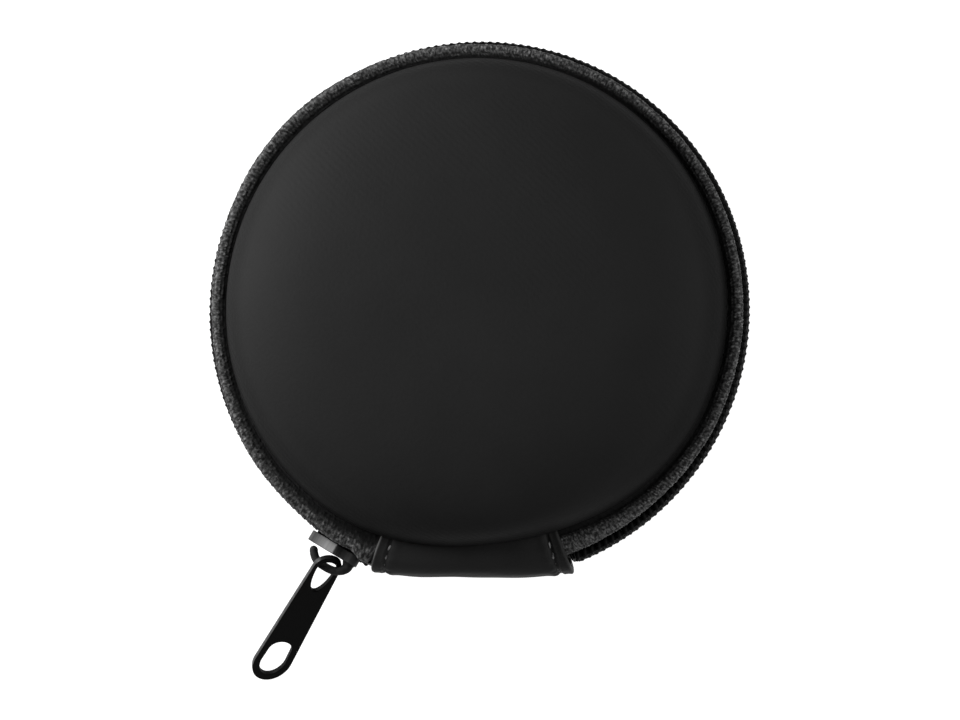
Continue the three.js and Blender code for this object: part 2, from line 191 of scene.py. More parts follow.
def ripples(x, y, wavelength, seed):
    """Soft random waves, about -1 to 1."""
    own_dice = np.random.default_rng(seed)
    total = np.zeros(np.broadcast(x, y).shape)
    for _ in range(RIPPLE_WAVES):
        heading, phase = own_dice.uniform(0, 2 * math.pi, 2)
        k = 2 * math.pi / (wavelength * own_dice.uniform(0.7, 1.5))
        total += np.sin(k * (x * math.cos(heading) + y * math.sin(heading)) + phase)
    return total / math.sqrt(RIPPLE_WAVES) / 1.5


# -------- meshes

class Surface:
    """Patches of points in mm, which become one smooth mesh with its faces pointing out."""

    def __init__(self):
        self.points, self.uvs, self.marks, self.faces, self.flat = [], [], [], [], []
        self.count = 0

    def _take(self, points, uv, mark):
        points = points.reshape(-1, 3)
        n = len(points)
        self.points.append(points)
        self.uvs.append(np.zeros((n, 2)) if uv is None else np.asarray(uv).reshape(n, 2))
        self.marks.append(np.zeros(n) if mark is None else np.asarray(mark, float).reshape(n))
        start = self.count
        self.count += n
        return start

    def grid(self, points, uv=None, mark=None, close_u=False, close_v=True, poles=False):
        """A grid of points (u, v). close_v joins each ring, and poles gather the first and last
        v of a turned shape in one point each. Otherwise the first and last ring are filled,
        unless close_u joins them."""
        nu, nv = points.shape[:2]
        start = self._take(points, uv, mark)
        i, j = np.meshgrid(
            np.arange(nu if close_u else nu - 1),
            np.arange(nv if close_v else nv - 1),
            indexing="ij",
        )
        square = [(i, j), (i + 1, j), (i + 1, j + 1), (i, j + 1)]
        faces = np.stack([(a % nu) * nv + b % nv for a, b in square], -1).reshape(-1, 4) + start
        new_faces = faces.tolist()
        if poles:
            for column, turn in ((0, 1), (nv - 1, -1)):
                ring = [start + k * nv + column for k in range(nu)]
                pole_mark = None if mark is None else mark[:1, column]
                centre = self._take(points[:, column].mean(0)[None], None, pole_mark)
                for a, b in zip(ring, ring[1:] + ring[:1]):
                    new_faces.append([b, a, centre] if turn > 0 else [a, b, centre])
        elif not close_u:
            new_faces.append([start + k for k in range(nv)][::-1])
            new_faces.append([start + (nu - 1) * nv + k for k in range(nv)])
        self._face_out(new_faces)
        return self

    def thread(self, line, radius, sides):
        """A round thread or wire along a line."""
        rings = tube(line, radius, sides)
        return self.grid(rings, tube_uv(rings, radius))

    def solid(self, points, faces, flat, mark, uv):
        """A closed mesh given as it is, with a list that says which faces are flat."""
        start = self._take(points, uv, mark)
        self._face_out([[start + k for k in face] for face in faces], flat)
        return self

    def _face_out(self, faces, flat=None):
        points = np.concatenate(self.points)
        sizes = {}
        for face in faces:
            sizes.setdefault(len(face), []).append(face)
        volume = 0
        for group in sizes.values():
            p = points[np.array(group)]
            for k in range(1, p.shape[1] - 1):
                volume += np.einsum("ij,ij->", p[:, 0], np.cross(p[:, k], p[:, k + 1]))
        self.faces += faces if volume > 0 else [face[::-1] for face in faces]
        self.flat += flat or [False] * len(faces)

    def build(self, name, look, slot):
        mesh = bpy.data.meshes.new(name)
        points = np.concatenate(self.points)
        mesh.from_pydata((points * MM).tolist(), [], self.faces)
        mesh.polygons.foreach_set("use_smooth", [not flat for flat in self.flat])
        ends = np.zeros(len(mesh.loops), int)
        mesh.loops.foreach_get("vertex_index", ends)
        layer = mesh.uv_layers.new(name="cloth")
        layer.data.foreach_set("uv", np.concatenate(self.uvs)[ends].astype(np.float32).ravel())
        marks = mesh.attributes.new("mark", "FLOAT", "POINT")
        marks.data.foreach_set("value", np.concatenate(self.marks).astype(np.float32))
        mesh.materials.append(look)
        mesh.update()
        made = bpy.data.objects.new(name, mesh)
        bpy.context.scene.collection.objects.link(made)
        return made


def frames(line):
    """Two directions across a line at each point, which turn as little as they can."""
    tangent = unit(np.gradient(line, axis=0))
    first = np.cross(tangent[0], [0, 0, 1])
    if np.linalg.norm(first) < 0.2:
        first = np.cross(tangent[0], [1, 0, 0])
    side = [unit(first)]
    for t in tangent[1:]:
        side.append(unit(side[-1] - t * (side[-1] @ t)))
    side = np.array(side)
    return side, np.cross(tangent, side)


def tube(line, radius, sides):
    """Rings round a line, with rounded tips."""
    line = np.array(line, float)
    radius = np.broadcast_to(np.asarray(radius, float), len(line))
    turn = np.radians([30, 60, 82])
    start, end = unit(line[0] - line[1]), unit(line[-1] - line[-2])
    before = line[0] + start * radius[0] * np.sin(turn[::-1, None])
    after = line[-1] + end * radius[-1] * np.sin(turn[:, None])
    line = np.concatenate([before, line, after])
    shrink = np.cos(turn)
    radius = np.concatenate([radius[0] * shrink[::-1], radius, radius[-1] * shrink])
    side, up = frames(line)
    around = np.linspace(0, 2 * math.pi, sides, endpoint=False)[None, :, None]
    ring = side[:, None] * np.cos(around) + up[:, None] * np.sin(around)
    return line[:, None] + ring * radius[:, None, None]


def tube_uv(rings, radius):
    lengths = arc_lengths(rings.mean(1))
    around = np.linspace(0, 2 * math.pi * radius, rings.shape[1], endpoint=False)
    return np.stack(np.meshgrid(lengths, around, indexing="ij"), -1)


def ribbon(centre, half, end_steps=3):
    """The closed section of a ribbon round its centreline: its points, where each is along the
    ribbon, the way out of it, and 1 on its outer side or -1 on its inner side."""
    tangent = unit(np.gradient(centre, axis=0))
    normal = np.stack([-tangent[:, 1], tangent[:, 0]], -1)
    along = arc_lengths(centre)
    turn = np.radians(np.linspace(90, -90, end_steps + 2)[1:-1])[:, None]
    last = normal[-1] * np.sin(turn) + tangent[-1] * np.cos(turn)
    first = -normal[0] * np.sin(turn) - tangent[0] * np.cos(turn)
    out = np.concatenate([normal, last, -normal[::-1], first])
    at_last, at_first = np.repeat(centre[-1:], end_steps, 0), np.repeat(centre[:1], end_steps, 0)
    base = np.concatenate([centre, at_last, centre[::-1], at_first])
    n = len(centre)
    where = np.concatenate([along, [along[-1]] * end_steps, along[::-1], [0] * end_steps])
    face = np.concatenate([np.ones(n), np.zeros(end_steps), -np.ones(n), np.zeros(end_steps)])
    return base + out * half, where, out, face


# -------- looks

def add(tree, kind, inputs=None, **settings):
    made = tree.nodes.new("ShaderNode" + kind)
    for name, value in settings.items():
        setattr(made, name, value)
    for socket, value in (inputs or {}).items():
        if isinstance(value, bpy.types.NodeSocket):
            tree.links.new(value, made.inputs[socket])
        else:
            made.inputs[socket].default_value = value
    return made


def grey(value):
    return (value, value, value, 1)


def new_look(name, roughness, specular, **more):
    """A material with a Principled shader: returns the material, its tree and the shader."""
    look = bpy.data.materials.new(name)
    look.use_nodes = True
    tree = look.node_tree
    shader = tree.nodes["Principled BSDF"]
    shader.inputs["Roughness"].default_value = roughness
    shader.inputs["Specular IOR Level"].default_value = specular
    for socket, value in more.items():
        shader.inputs[socket.replace("_", " ")].default_value = value
    return look, tree, shader


def cloth_place(tree):
    """Millimetres along and across the cloth."""
    return add(tree, "UVMap", uv_map="cloth").outputs["UV"]


def noise(tree, where, scale, detail=3.0, roughness=0.55):
    inputs = {"Vector": where, "Scale": scale, "Detail": detail, "Roughness": roughness}
    return add(tree, "TexNoise", inputs).outputs["Fac"]


def slanted(tree, where, scale, distortion):
    """Diagonal bands."""
    inputs = {"Vector": where, "Scale": scale, "Distortion": distortion}
    return add(tree, "TexWave", inputs, bands_direction="DIAGONAL").outputs["Fac"]


def ranged(tree, value, low, high, from_low=0.0, from_high=1.0):
    inputs = {
        "Value": value,
        "From Min": from_low,
        "From Max": from_high,
        "To Min": low,
        "To Max": high,
    }
    return add(tree, "MapRange", inputs).outputs["Result"]


def summed(tree, a, b, operation="ADD"):
    return add(tree, "Math", {0: a, 1: b}, operation=operation).outputs[0]


def ramp(tree, value, dark, light):
    """A grey between two tones."""
    made = add(tree, "ValToRGB", {"Fac": value})
    made.color_ramp.elements[0].color = dark
    made.color_ramp.elements[1].color = light
    return made.outputs["Color"]


def bumped(tree, shader, height, depth):
    """Bumps of a depth in mm."""
    inputs = {"Height": height, "Strength": 1.0, "Distance": depth * MM}
    tree.links.new(add(tree, "Bump", inputs).outputs["Normal"], shader.inputs["Normal"])


def marks_of(tree):
    return add(tree, "Attribute", attribute_name="mark").outputs["Fac"]


def leather_look(name, dark, light, roughness, grain, mottle, painted_light):
    """Satin artificial leather: fine pebbled grain over a faint diagonal emboss. It is paler where
    its mark is high. This is painted light: painted shade darkening the cover towards its rim, and
    a painted highlight on the hinge strip's left end edge."""
    look, tree, shader = new_look(name, roughness, specular=0.015)
    where = cloth_place(tree)
    broad = noise(tree, where, 0.07, 2.0)
    fine = noise(tree, where, 3.4, 4.0, 0.62)
    pebble = add(tree, "TexVoronoi", {"Vector": where, "Scale": 2.3}, feature="SMOOTH_F1")
    emboss = slanted(tree, where, 0.5, 0.7)
    height = summed(tree, fine, pebble.outputs["Distance"])
    height = summed(tree, height, ranged(tree, emboss, 0, 0.35))
    bumped(tree, shader, height, grain)
    tone = summed(tree, ranged(tree, broad, 0, 0.5 * mottle), ranged(tree, fine, 0, 0.3 * mottle))
    tone = summed(tree, tone, ranged(tree, marks_of(tree), 0, painted_light))
    tree.links.new(ramp(tree, tone, dark, light), shader.inputs["Base Color"])
    matt = ranged(tree, fine, roughness - 0.08, roughness + 0.08)
    matt = summed(tree, ranged(tree, broad, -0.05, 0.05), matt)
    tree.links.new(matt, shader.inputs["Roughness"])
    return look


def woven_look(name, dark, light, sheen, contrast=1.0):
    """Cloth whose mark says how far up a yarn stands, from 0 in the gaps to 1 on top. Its colour
    follows the mark: a painted highlight on the yarn tops and painted shade in the gaps.
    """
    look, tree, shader = new_look(name, 0.8, specular=0.08, Sheen_Weight=sheen, Sheen_Roughness=0.4)
    where = cloth_place(tree)
    speckle = noise(tree, where, 2.6, 2.0)
    fibre = noise(tree, where, 9, 3.0, 0.7)
    tone = summed(tree, marks_of(tree), ranged(tree, speckle, 0.25, 1.5, 0.38, 0.64), "MULTIPLY")
    tone = summed(tree, tone, ranged(tree, fibre, 0.6, 1.35, 0.35, 0.7), "MULTIPLY")
    # The power keeps the painted yarn highlights few
    tone = summed(tree, tone, contrast, "POWER")
    tree.links.new(ramp(tree, tone, dark, light), shader.inputs["Base Color"])
    tree.links.new(ranged(tree, fibre, 0.62, 0.92), shader.inputs["Roughness"])
    bumped(tree, shader, fibre, 0.03)
    return look


def knit_look(name, dark, light, pitch):
    """Brushed knit fabric: rows of small loops, with a soft nap."""
    look, tree, shader = new_look(name, 0.9, specular=0.2, Sheen_Weight=0.35, Sheen_Roughness=0.5)
    where = cloth_place(tree)
    loops = add(tree, "TexVoronoi", {"Vector": where, "Scale": 1 / pitch, "Randomness": 0.25})
    rows = add(tree, "TexWave", {"Vector": where, "Scale": 0.314 / pitch, "Distortion": 0.4})
    nap = noise(tree, where, 7, 4.0, 0.7)
    height = summed(tree, ranged(tree, loops.outputs["Distance"], 1, 0), rows.outputs["Fac"])
    height = summed(tree, height, nap)
    bumped(tree, shader, height, 0.09)
    tone = ramp(tree, ranged(tree, height, 0, 1, 0.8, 2.2), dark, light)
    tree.links.new(tone, shader.inputs["Base Color"])
    tree.links.new(ranged(tree, nap, 0.8, 1.0), shader.inputs["Roughness"])
    return look


def thread_look(name, dark, light, twist):
    """Spun thread, with its plies running slantwise round it."""
    look, tree, shader = new_look(name, 0.7, specular=0.1, Sheen_Weight=0.1)
    where = cloth_place(tree)
    plies = slanted(tree, where, twist, 0.5)
    bumped(tree, shader, plies, 0.04)
    tree.links.new(ramp(tree, plies, dark, light), shader.inputs["Base Color"])
    return look


def nylon_look():
    look, tree, shader = new_look("coil_nylon", 0.6, specular=0.03)
    where = add(tree, "TexCoord").outputs["Object"]
    grain = noise(tree, where, 4000, 2.0)
    tree.links.new(ramp(tree, grain, grey(0.003), grey(0.007)), shader.inputs["Base Color"])
    tree.links.new(ranged(tree, grain, 0.52, 0.7), shader.inputs["Roughness"])
    bumped(tree, shader, grain, 0.01)
    return look


def foam_look():
    look, tree, shader = new_look("shell_foam", 0.95, specular=0.25)
    where = add(tree, "TexCoord").outputs["Object"]
    cells = add(tree, "TexVoronoi", {"Vector": where, "Scale": 2600})
    bumped(tree, shader, cells.outputs["Distance"], 0.08)
    tone = ramp(tree, cells.outputs["Distance"], grey(0.012), grey(0.035))
    tree.links.new(tone, shader.inputs["Base Color"])
    tree.links.new(ranged(tree, noise(tree, where, 900), 0.85, 1), shader.inputs["Roughness"])
    return look


def lacquered_look(name, face, edge, face_roughness, edge_roughness, brush, gloss):
    """Black lacquered metal. Its mark is 1 on the edges, where the lacquer is thin and the metal
    shows brush streaks; on the slider's plates this mark also places a painted highlight.
    """
    look, tree, shader = new_look(name, face_roughness, specular=gloss)
    where = cloth_place(tree)
    stretched = add(tree, "Mapping", {"Vector": where, "Scale": brush}).outputs["Vector"]
    streaks = noise(tree, stretched, 1.0, 4.0, 0.6)
    wear = noise(tree, where, 1.3, 3.0)
    bare = summed(tree, marks_of(tree), ranged(tree, wear, 0.55, 1.1, 0.3, 0.7), "MULTIPLY")
    tone = ramp(tree, summed(tree, bare, ranged(tree, streaks, 0.6, 1.2), "MULTIPLY"), face, edge)
    tree.links.new(tone, shader.inputs["Base Color"])
    tree.links.new(ranged(tree, bare, 0, 0.95), shader.inputs["Metallic"])
    matt = ranged(tree, bare, face_roughness, edge_roughness)
    matt = summed(tree, matt, ranged(tree, streaks, -0.06, 0.06))
    tree.links.new(matt, shader.inputs["Roughness"])
    bumped(tree, shader, streaks, 0.008)
    return look


# The last argument is painted light: on the cover a painted shade towards its rim, on the hinge
# strip a painted highlight on its left end edge
cover_look = leather_look("cover_leather", grey(0.003), grey(0.0175), 0.5, 0.032, 0.5, 0.6)
strip_look = leather_look("hinge_leather", grey(0.0135), grey(0.08), 0.5, 0.02, 0.25, 1.0)
foam = foam_look()
lining_look = knit_look("lining_fabric", grey(0.010), grey(0.032), 0.7)
binding_look = woven_look("edge_binding", grey(0.005), grey(0.03), 0.2)
tape_look = woven_look("zipper_tape", grey(0.004), grey(0.145), 0.05, contrast=1.5)
nylon = nylon_look()
stop_look = lacquered_look("stop_metal", grey(0.004), grey(0.02), 0.5, 0.45, (2, 9, 2), 0.03)
net_look = thread_look("pocket_net", grey(0.006), grey(0.03), 0.5)
elastic_look = woven_look("pocket_elastic", grey(0.005), grey(0.035), 0.2)
stitch_look = thread_look("stitch_thread", grey(0.04), grey(0.2), 0.55)
dark_thread = thread_look("seam_thread", grey(0.005), grey(0.03), 0.55)
slider_look = lacquered_look("slider_metal", grey(0.003), grey(0.75), 0.5, 0.32, (9, 1, 9), 0.03)
tab_look = lacquered_look("tab_metal", grey(0.0018), grey(0.06), 0.5, 0.4, (1, 9, 1), 0.02)


# -------- the two halves

BASE, LID = ("base", -1), ("lid", 1)
RIM_TURN = 0.15  # the rim's rounded edge starts this far above the rim
DOME_STEPS = 56
POLE_RADIUS = 0.2  # what is nearer to the axis is gathered in one point


def dome_line(rim_radius, crown, rim, side):
    """From the centre over the shoulder to the rim: [radius, height]."""
    turn = np.linspace(0, math.pi / 2, 200)
    if side > 0:
        radius = rim_radius * np.sqrt(np.sin(turn))
    else:
        radius = CROWN_RADIUS + (rim_radius - CROWN_RADIUS) * np.sin(turn)
    line = np.stack([radius, rim + (crown - rim) * np.cos(turn)], -1)
    if side < 0:
        line = np.concatenate([[[0, crown]], line])
    return spaced(line, DOME_STEPS)


def bowl_profile(outer, inner, rim, side):
    """The closed section of one layer, with a rounded rim."""
    outside = dome_line(*outer, rim + RIM_TURN, side)
    inside = dome_line(*inner, rim + RIM_TURN, side)[::-1]
    middle, half = (outer[0] + inner[0]) / 2, (outer[0] - inner[0]) / 2
    turn = np.radians(np.linspace(0, 180, 9)[1:-1])
    depth = min(half, 0.35)
    edge = np.stack([middle + half * np.cos(turn), rim + RIM_TURN - depth * np.sin(turn)], -1)
    return np.concatenate([outside, edge, inside])


def turned(profile, side, count, ripple, seed):
    """Points and cloth coordinates of a section turned round the axis. The cloth is a disc."""
    profile = profile[profile[:, 0] > POLE_RADIUS]
    angle = np.linspace(0, 360, count, endpoint=False)[:, None]
    points = on_wall(angle, profile[None, :, 0], side * profile[None, :, 1])
    lengths = arc_lengths(profile)[None, :]
    reach = np.minimum(lengths, lengths[:, -1:] - lengths)  # along the cloth, from its centre
    turn = np.radians(angle)
    uv = np.stack([reach * np.sin(turn), -reach * np.cos(turn)], -1)
    fade = 1 - (profile[None, :, 0] / profile[:, 0].max()) ** 6
    wave = ripples(points[..., 0], points[..., 1], UNEVEN_WAVELENGTH, seed)
    points[..., 2] += side * ripple * fade * (wave - 1)
    return points, uv


LAYERS = {
    "cover": {"outer": (RIM_RADIUS, HALF_THICKNESS), "inner": (36.3, 16.8), "rim": RIM_HEIGHT},
    "foam": {"outer": (35.2, 16.5), "inner": (33.4, 14.3), "rim": 5.9},
    "lining": {"outer": (33.1, 14.0), "inner": (32.5, 13.4), "rim": 5.9},
}
PAINTED_RIM_SHADE = (33.3, 37)  # radii over which the cover's painted shade darkens it towards the rim
UNEVEN_WAVELENGTH = 26  # of the low waves in the moulded skins


# The name, look and slot of each layer's piece, its points round the axis, how uneven it is
# in mm, and the seed of its unevenness
FINISHES = {
    "cover": ("leather_cover", cover_look, "cover_leather", 256, 0.03, 5),
    "foam": ("foam_shell", foam, "shell_foam", 120, 0.0, 1),
    "lining": ("knit_lining", lining_look, "lining_fabric", 160, 0.05, 9),
}


def layer_piece(half, side, layer):
    name, look, slot, count, ripple, seed = FINISHES[layer]
    profile = bowl_profile(**LAYERS[layer], side=side)
    points, uv = turned(profile, side, count, ripple, seed + side)
    # The cover's colour is darker towards its rim: painted shade beside the seam
    radius = np.hypot(points[..., 0], points[..., 1])
    mark = 1 - smoothstep(radius, *PAINTED_RIM_SHADE)
    made = Surface().grid(points, uv, mark, close_u=True, close_v=False, poles=True)
    made = made.build(f"{half}_{name}", look, slot)
    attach(made, half)
    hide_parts(f"{half}_{layer}")
    return made


BINDING_LINE = [
    (34.75, 5.24), (33.5, 5.22), (32.35, 5.24), (31.88, 5.5), (31.74, 6.1), (31.73, 7.0)
]
BINDING_RADIUS = 33.1  # of the middle of the ribbon
BINDING_HALF = 0.2  # half its thickness
RIB_PITCH = 0.7
RIB_RISE = 0.05
STITCH_DIVE = 0.3  # how far the ends of a stitch go down
BINDING_STITCH = {"radius": 33.5, "height": 4.93, "pitch": 3.0, "length": 2.2, "thread": 0.2}


def edge_binding(half, side):
    """Ribbed ribbon over the rim of the foam and lining, with a row of stitches along it."""
    centre = spaced(curve_through(BINDING_LINE), step=0.22)
    section, where, out, face = ribbon(centre, BINDING_HALF)
    ribs = round(2 * math.pi * BINDING_RADIUS / RIB_PITCH)
    step = np.arange(4 * ribs)
    angle = (step * 360 / len(step))[:, None]
    lift = np.abs(np.sin(step * math.pi / 4))[:, None] * (face != 0)
    radius = section[:, 0] + out[:, 0] * RIB_RISE * lift
    height = section[:, 1] + out[:, 1] * RIB_RISE * lift
    points = on_wall(angle, radius, side * height)
    uv = joined(angle * math.radians(BINDING_RADIUS), where)
    # The colour mark follows the ribs: painted highlight on their tops, painted shade between them
    mark = np.broadcast_to(0.35 + 0.65 * lift, points.shape[:2])
    made = Surface().grid(points, uv, mark, close_u=True)
    ribbon_piece = made.build(f"{half}_edge_binding_ribbon", binding_look, "edge_binding")
    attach(ribbon_piece, half)
    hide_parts(f"{half}_edge_binding")

    s = BINDING_STITCH
    count = round(2 * math.pi * s["radius"] / s["pitch"])
    stitches = Surface()
    share = np.linspace(-0.5, 0.5, 7)
    arc = math.degrees(s["length"] / s["radius"])
    height = side * (s["height"] + STITCH_DIVE * (2 * share) ** 4)
    for k in range(count):
        line = on_wall(k * 360 / count + share * arc, s["radius"], height)
        stitches.thread(line, s["thread"], 6)
    sewn = stitches.build(f"{half}_binding_stitches", dark_thread, "stitch_thread")
    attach(sewn, half)


# The zipper tape from the seam under the cover's rim, over its rounded fold, down behind the coil
TAPE_LINE = [
    (35.5, 7.4),
    (35.6, 6.3),
    (35.9, 5.2),
    (36.6, 4.3),
    (37.3, 4.0),
    (37.95, 4.35),
    (38.55, 4.5),
    (38.97, 4.05),
    (38.72, 3.35),
    (38.52, 2.75),
    (38.48, 2.0),
    (38.48, 0.42),
]
TAPE_HALF = 0.26
YARN_ALONG = 0.46
YARN_ACROSS = 0.42
YARN_RISE = 0.16
HIDDEN_TAPE = 1.9  # this much of the tape is in the seam
# The roll is not even: it stands out most round these angles, by so much, over such a width
ROLL_BULGES = ((75, 0.28, 55), (225, 0.65, 30), (312, 0.75, 26), (332, 0.6, 7))
# At its left end the zipper leaves the slider and stands out beside the strip
END_PUSH = {"amount": 1.1, "start": 332.2, "end": 335.4, "back": (336.6, 337.8)}
SLIDER_PUSH = {"amount": 0.25, "middle": 326, "width": 6}  # the slider draws it out a little


def end_push(angle):
    """How far the zipper stands out past its circle near its left end."""
    push = SLIDER_PUSH
    at_slider = push["amount"] * bell(angle - push["middle"], push["width"])
    rise = smoothstep(angle, END_PUSH["start"], END_PUSH["end"])
    under_strip = smoothstep(angle, *END_PUSH["back"])
    return at_slider + END_PUSH["amount"] * rise * (1 - under_strip)


def roll_bulge(angle):
    return sum(amount * bell(angle - middle, width) for middle, amount, width in ROLL_BULGES)


def yarn_rise(along, across):
    """How far up the yarns stand, 0 to 1: staggered rows of short slanted floats."""
    row = np.floor(across / YARN_ACROSS).astype(int)
    x = along / YARN_ALONG + 0.5 * (row % 2) + 0.22 * np.sin(2 * math.pi * across / YARN_ACROSS)
    column = np.floor(x).astype(int)
    rise = np.abs(np.sin(math.pi * x) * np.sin(math.pi * across / YARN_ACROSS)) ** 0.6
    uneven = np.random.default_rng(3).uniform(0.1, 1.0, (row.max() + 1, column.max() + 2))
    return rise * uneven[np.maximum(row, 0), np.maximum(column, 0)]


def zip_tape(half, side):
    centre = curve_through(TAPE_LINE, 20)
    lengths = arc_lengths(centre)
    seam = np.linspace(0, HIDDEN_TAPE, 5)[:-1]
    shown = np.arange(HIDDEN_TAPE, lengths[-1], YARN_ACROSS / 4)
    stations = np.concatenate([seam, shown, lengths[-1:]])
    centre = np.stack([np.interp(stations, lengths, axis) for axis in centre.T], -1)
    section, where, out, face = ribbon(centre, TAPE_HALF)
    # The inner side needs fewer points than the woven outer side
    n = len(centre)
    inner = np.arange(n + 3, 2 * n + 3)
    keep = np.ones(len(section), bool)
    keep[inner[1:-1]] = np.arange(n - 2) % 5 == 0
    section, where, out, face = section[keep], where[keep], out[keep], face[keep]

    start, end = RIGHT_END - TAPE_TUCK, LEFT_END + TAPE_TUCK
    length = math.radians(end - start) * ZIP_RADIUS
    count = round(length / YARN_ALONG * 4) + 1
    angle = np.linspace(start, end, count)[:, None]
    along = np.linspace(0, length, count)[:, None]
    weave = yarn_rise(along, np.broadcast_to(where, (count, len(where))))
    weave = np.where(face > 0, weave, 0)
    wave = 0.05 * ripples(along, where[None, :] * 3, 9, 11 + side)
    lift = YARN_RISE * weave + np.where((where > 2.5) & (where < 7), wave, 0)
    past_seam = smoothstep(where, 3.8, 5.8)
    on_roll = past_seam * (1 - smoothstep(where, 7.0, 8.2))
    push = roll_bulge(angle) * on_roll + end_push(angle) * past_seam
    radius = section[:, 0] + out[:, 0] * lift + push
    height = section[:, 1] + out[:, 1] * lift
    points = on_wall(angle, radius, side * height)
    # The tape's colour is darkened down in the groove beside the cover: painted shade
    shade = 0.08 + 0.92 * smoothstep(where, 4.4, 5.7)
    # The colour mark is the yarn height, for painted highlights on the yarn tops, times the painted
    # groove shade
    made = Surface().grid(
        points, joined(along, where), np.where(face > 0, 0.35 + 0.65 * weave, 0.3) * shade
    )
    return made.build(f"{half}_woven_tape", tape_look, "zipper_tape")


COIL_MIDDLE = (ZIP_RADIUS - 0.5, 0.86)  # radius and height of the middle of each loop
COIL_HALF = (0.43, 0.84)  # half the loop's depth and half its height, to the wire's centre
COIL_CORE = (0.42, 0.74)  # the same of the cord that fills the loops
LOOP_STEPS = 16
COIL_PARTING = 0.45  # how much further each coil stands from the mid plane in front of the slider
SEWING_LINES = ((1.0, 0.05), (1.45, -0.05))  # height of each thread, and how far out it lies
SEWING_DIP = 0.06
SEWING_THREAD = 0.1


def parting(angle):
    """How much further a coil stands from the mid plane at an angle."""
    start = 360 + SLIDER_ANGLE
    return COIL_PARTING * smoothstep(angle, start, start + SLIDER_SPREAD)


def coil_line(side):
    start, end = RIGHT_END + STOP_ANGLE - 0.6, LEFT_END - STOP_ANGLE + 0.4
    loops = int(math.radians(end - start) * ZIP_RADIUS / COIL_PITCH)
    turn = np.arange(loops * LOOP_STEPS + 1) / LOOP_STEPS
    angle = start + (turn + (0.25 if side > 0 else 0.75)) * (end - start) / (loops + 1)
    c, s = np.cos(2 * math.pi * turn), np.sin(2 * math.pi * turn)
    radius = COIL_MIDDLE[0] + COIL_HALF[0] * powered(c, 0.8)
    height = COIL_MIDDLE[1] + COIL_HALF[1] * powered(s, 0.85)
    return on_wall(angle, radius + end_push(angle), side * (height + parting(angle)))


def coil_core(side, start, end):
    """The filler cord inside the loops."""
    angle = np.linspace(start, end, 400)[:, None]
    around = np.linspace(0, 2 * math.pi, 12, endpoint=False)
    radius = COIL_MIDDLE[0] + COIL_CORE[0] * np.cos(around) + end_push(angle)
    height = COIL_MIDDLE[1] + COIL_CORE[1] * np.sin(around) + parting(angle)
    return on_wall(angle, radius, side * height)


def zip_coil(half, side):
    """One continuous nylon wire wound in flattened loops round a cord, with the two threads
    that sew it on."""
    start, end = RIGHT_END + STOP_ANGLE, LEFT_END - STOP_ANGLE
    wire = Surface().thread(coil_line(side), COIL_WIRE / 2, 8)
    wire.grid(coil_core(side, start - 1.0, end + 1.0))
    made = wire.build(f"{half}_wound_coil", nylon, "coil_nylon")

    count = int(math.radians(end - start) * ZIP_RADIUS / COIL_PITCH) * 6
    angle = np.linspace(start, end, count)
    dip = np.abs(np.sin(np.arange(count) * math.pi / 6))
    sewing = Surface()
    for height, out in SEWING_LINES:
        radius = ZIP_RADIUS + out - SEWING_DIP * dip + end_push(angle)
        line = on_wall(angle, radius, side * (height + parting(angle)))
        sewing.thread(line, SEWING_THREAD, 5)
    return made, sewing.build(f"{half}_coil_sewing", dark_thread, "stitch_thread")


STOP_HEIGHTS = (0.3, 2.3)  # of the stop at the end of one coil
END_CLAMP_HALF = 2.2  # half the height of the clamp over both coils
STOP_SQUARENESS = 0.35  # under 1, its section has squared shoulders
STOP_CLOTH = 0.7  # mm of its surface in a degree


def clamp_stop(name, start, end, low, high):
    """A pressed metal clamp over the end of the coil, bitten in across its middle."""
    inner, outer = radii("zip_bottom_stop")
    middle = ((inner + outer) / 2, (low + high) / 2)
    half = ((outer - inner) / 2, (high - low) / 2)
    around = np.linspace(0, 2 * math.pi, 40, endpoint=False)
    c, s = np.cos(around), np.sin(around)
    across = np.linspace(-1, 1, 25)
    swell = (1 - np.abs(across) ** 6) ** 0.35
    swell = (np.maximum(swell, 0.25) - 0.1 * bell(across, 0.22))[:, None]
    radius = middle[0] + half[0] * swell * powered(c, STOP_SQUARENESS)
    height = middle[1] + half[1] * swell * powered(s, STOP_SQUARENESS)
    angle = ((start + end) / 2 + across * (end - start) / 2)[:, None]
    points = on_wall(angle, radius + end_push(angle), height)
    edge = np.broadcast_to((np.abs(c * s) * 2)[None, :] ** 2 * 0.9, points.shape[:2])
    uv = joined(angle * STOP_CLOTH, around * half[1])
    return Surface().grid(points, uv, edge).build(name, stop_look, "stop_metal")


def zip_half(half, side):
    tape = zip_tape(half, side)
    coil, sewing = zip_coil(half, side)
    heights = sorted(side * height for height in STOP_HEIGHTS)
    stop = clamp_stop(f"{half}_clamp_stop", LEFT_END - STOP_ANGLE, LEFT_END, *heights)
    if side > 0:
        for made in (tape, coil, sewing, stop):
            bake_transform(made)
        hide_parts("lid_zip_tape", "lid_tape_end_left", "lid_tape_end_right")
        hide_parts("lid_zip_coil", "lid_coil_end_left", "lid_coil_end_right")
    else:
        for made in (tape, coil, sewing, stop):
            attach(made, "base")
        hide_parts("base_zip_tape")
        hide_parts("base_zip_coil")
    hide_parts(f"{half}_top_stop")


for half, side in (BASE, LID):
    layer_piece(half, side, "cover")
    core = layer_piece(half, side, "foam")
    lining = layer_piece(half, side, "lining")
    edge_binding(half, side)
    zip_half(half, side)

bottom_stop = clamp_stop(
    "zip_end_clamp", RIGHT_END, RIGHT_END + STOP_ANGLE, -END_CLAMP_HALF, END_CLAMP_HALF
)
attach(bottom_stop, "base")
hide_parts("zip_bottom_stop")

# -------- hinge

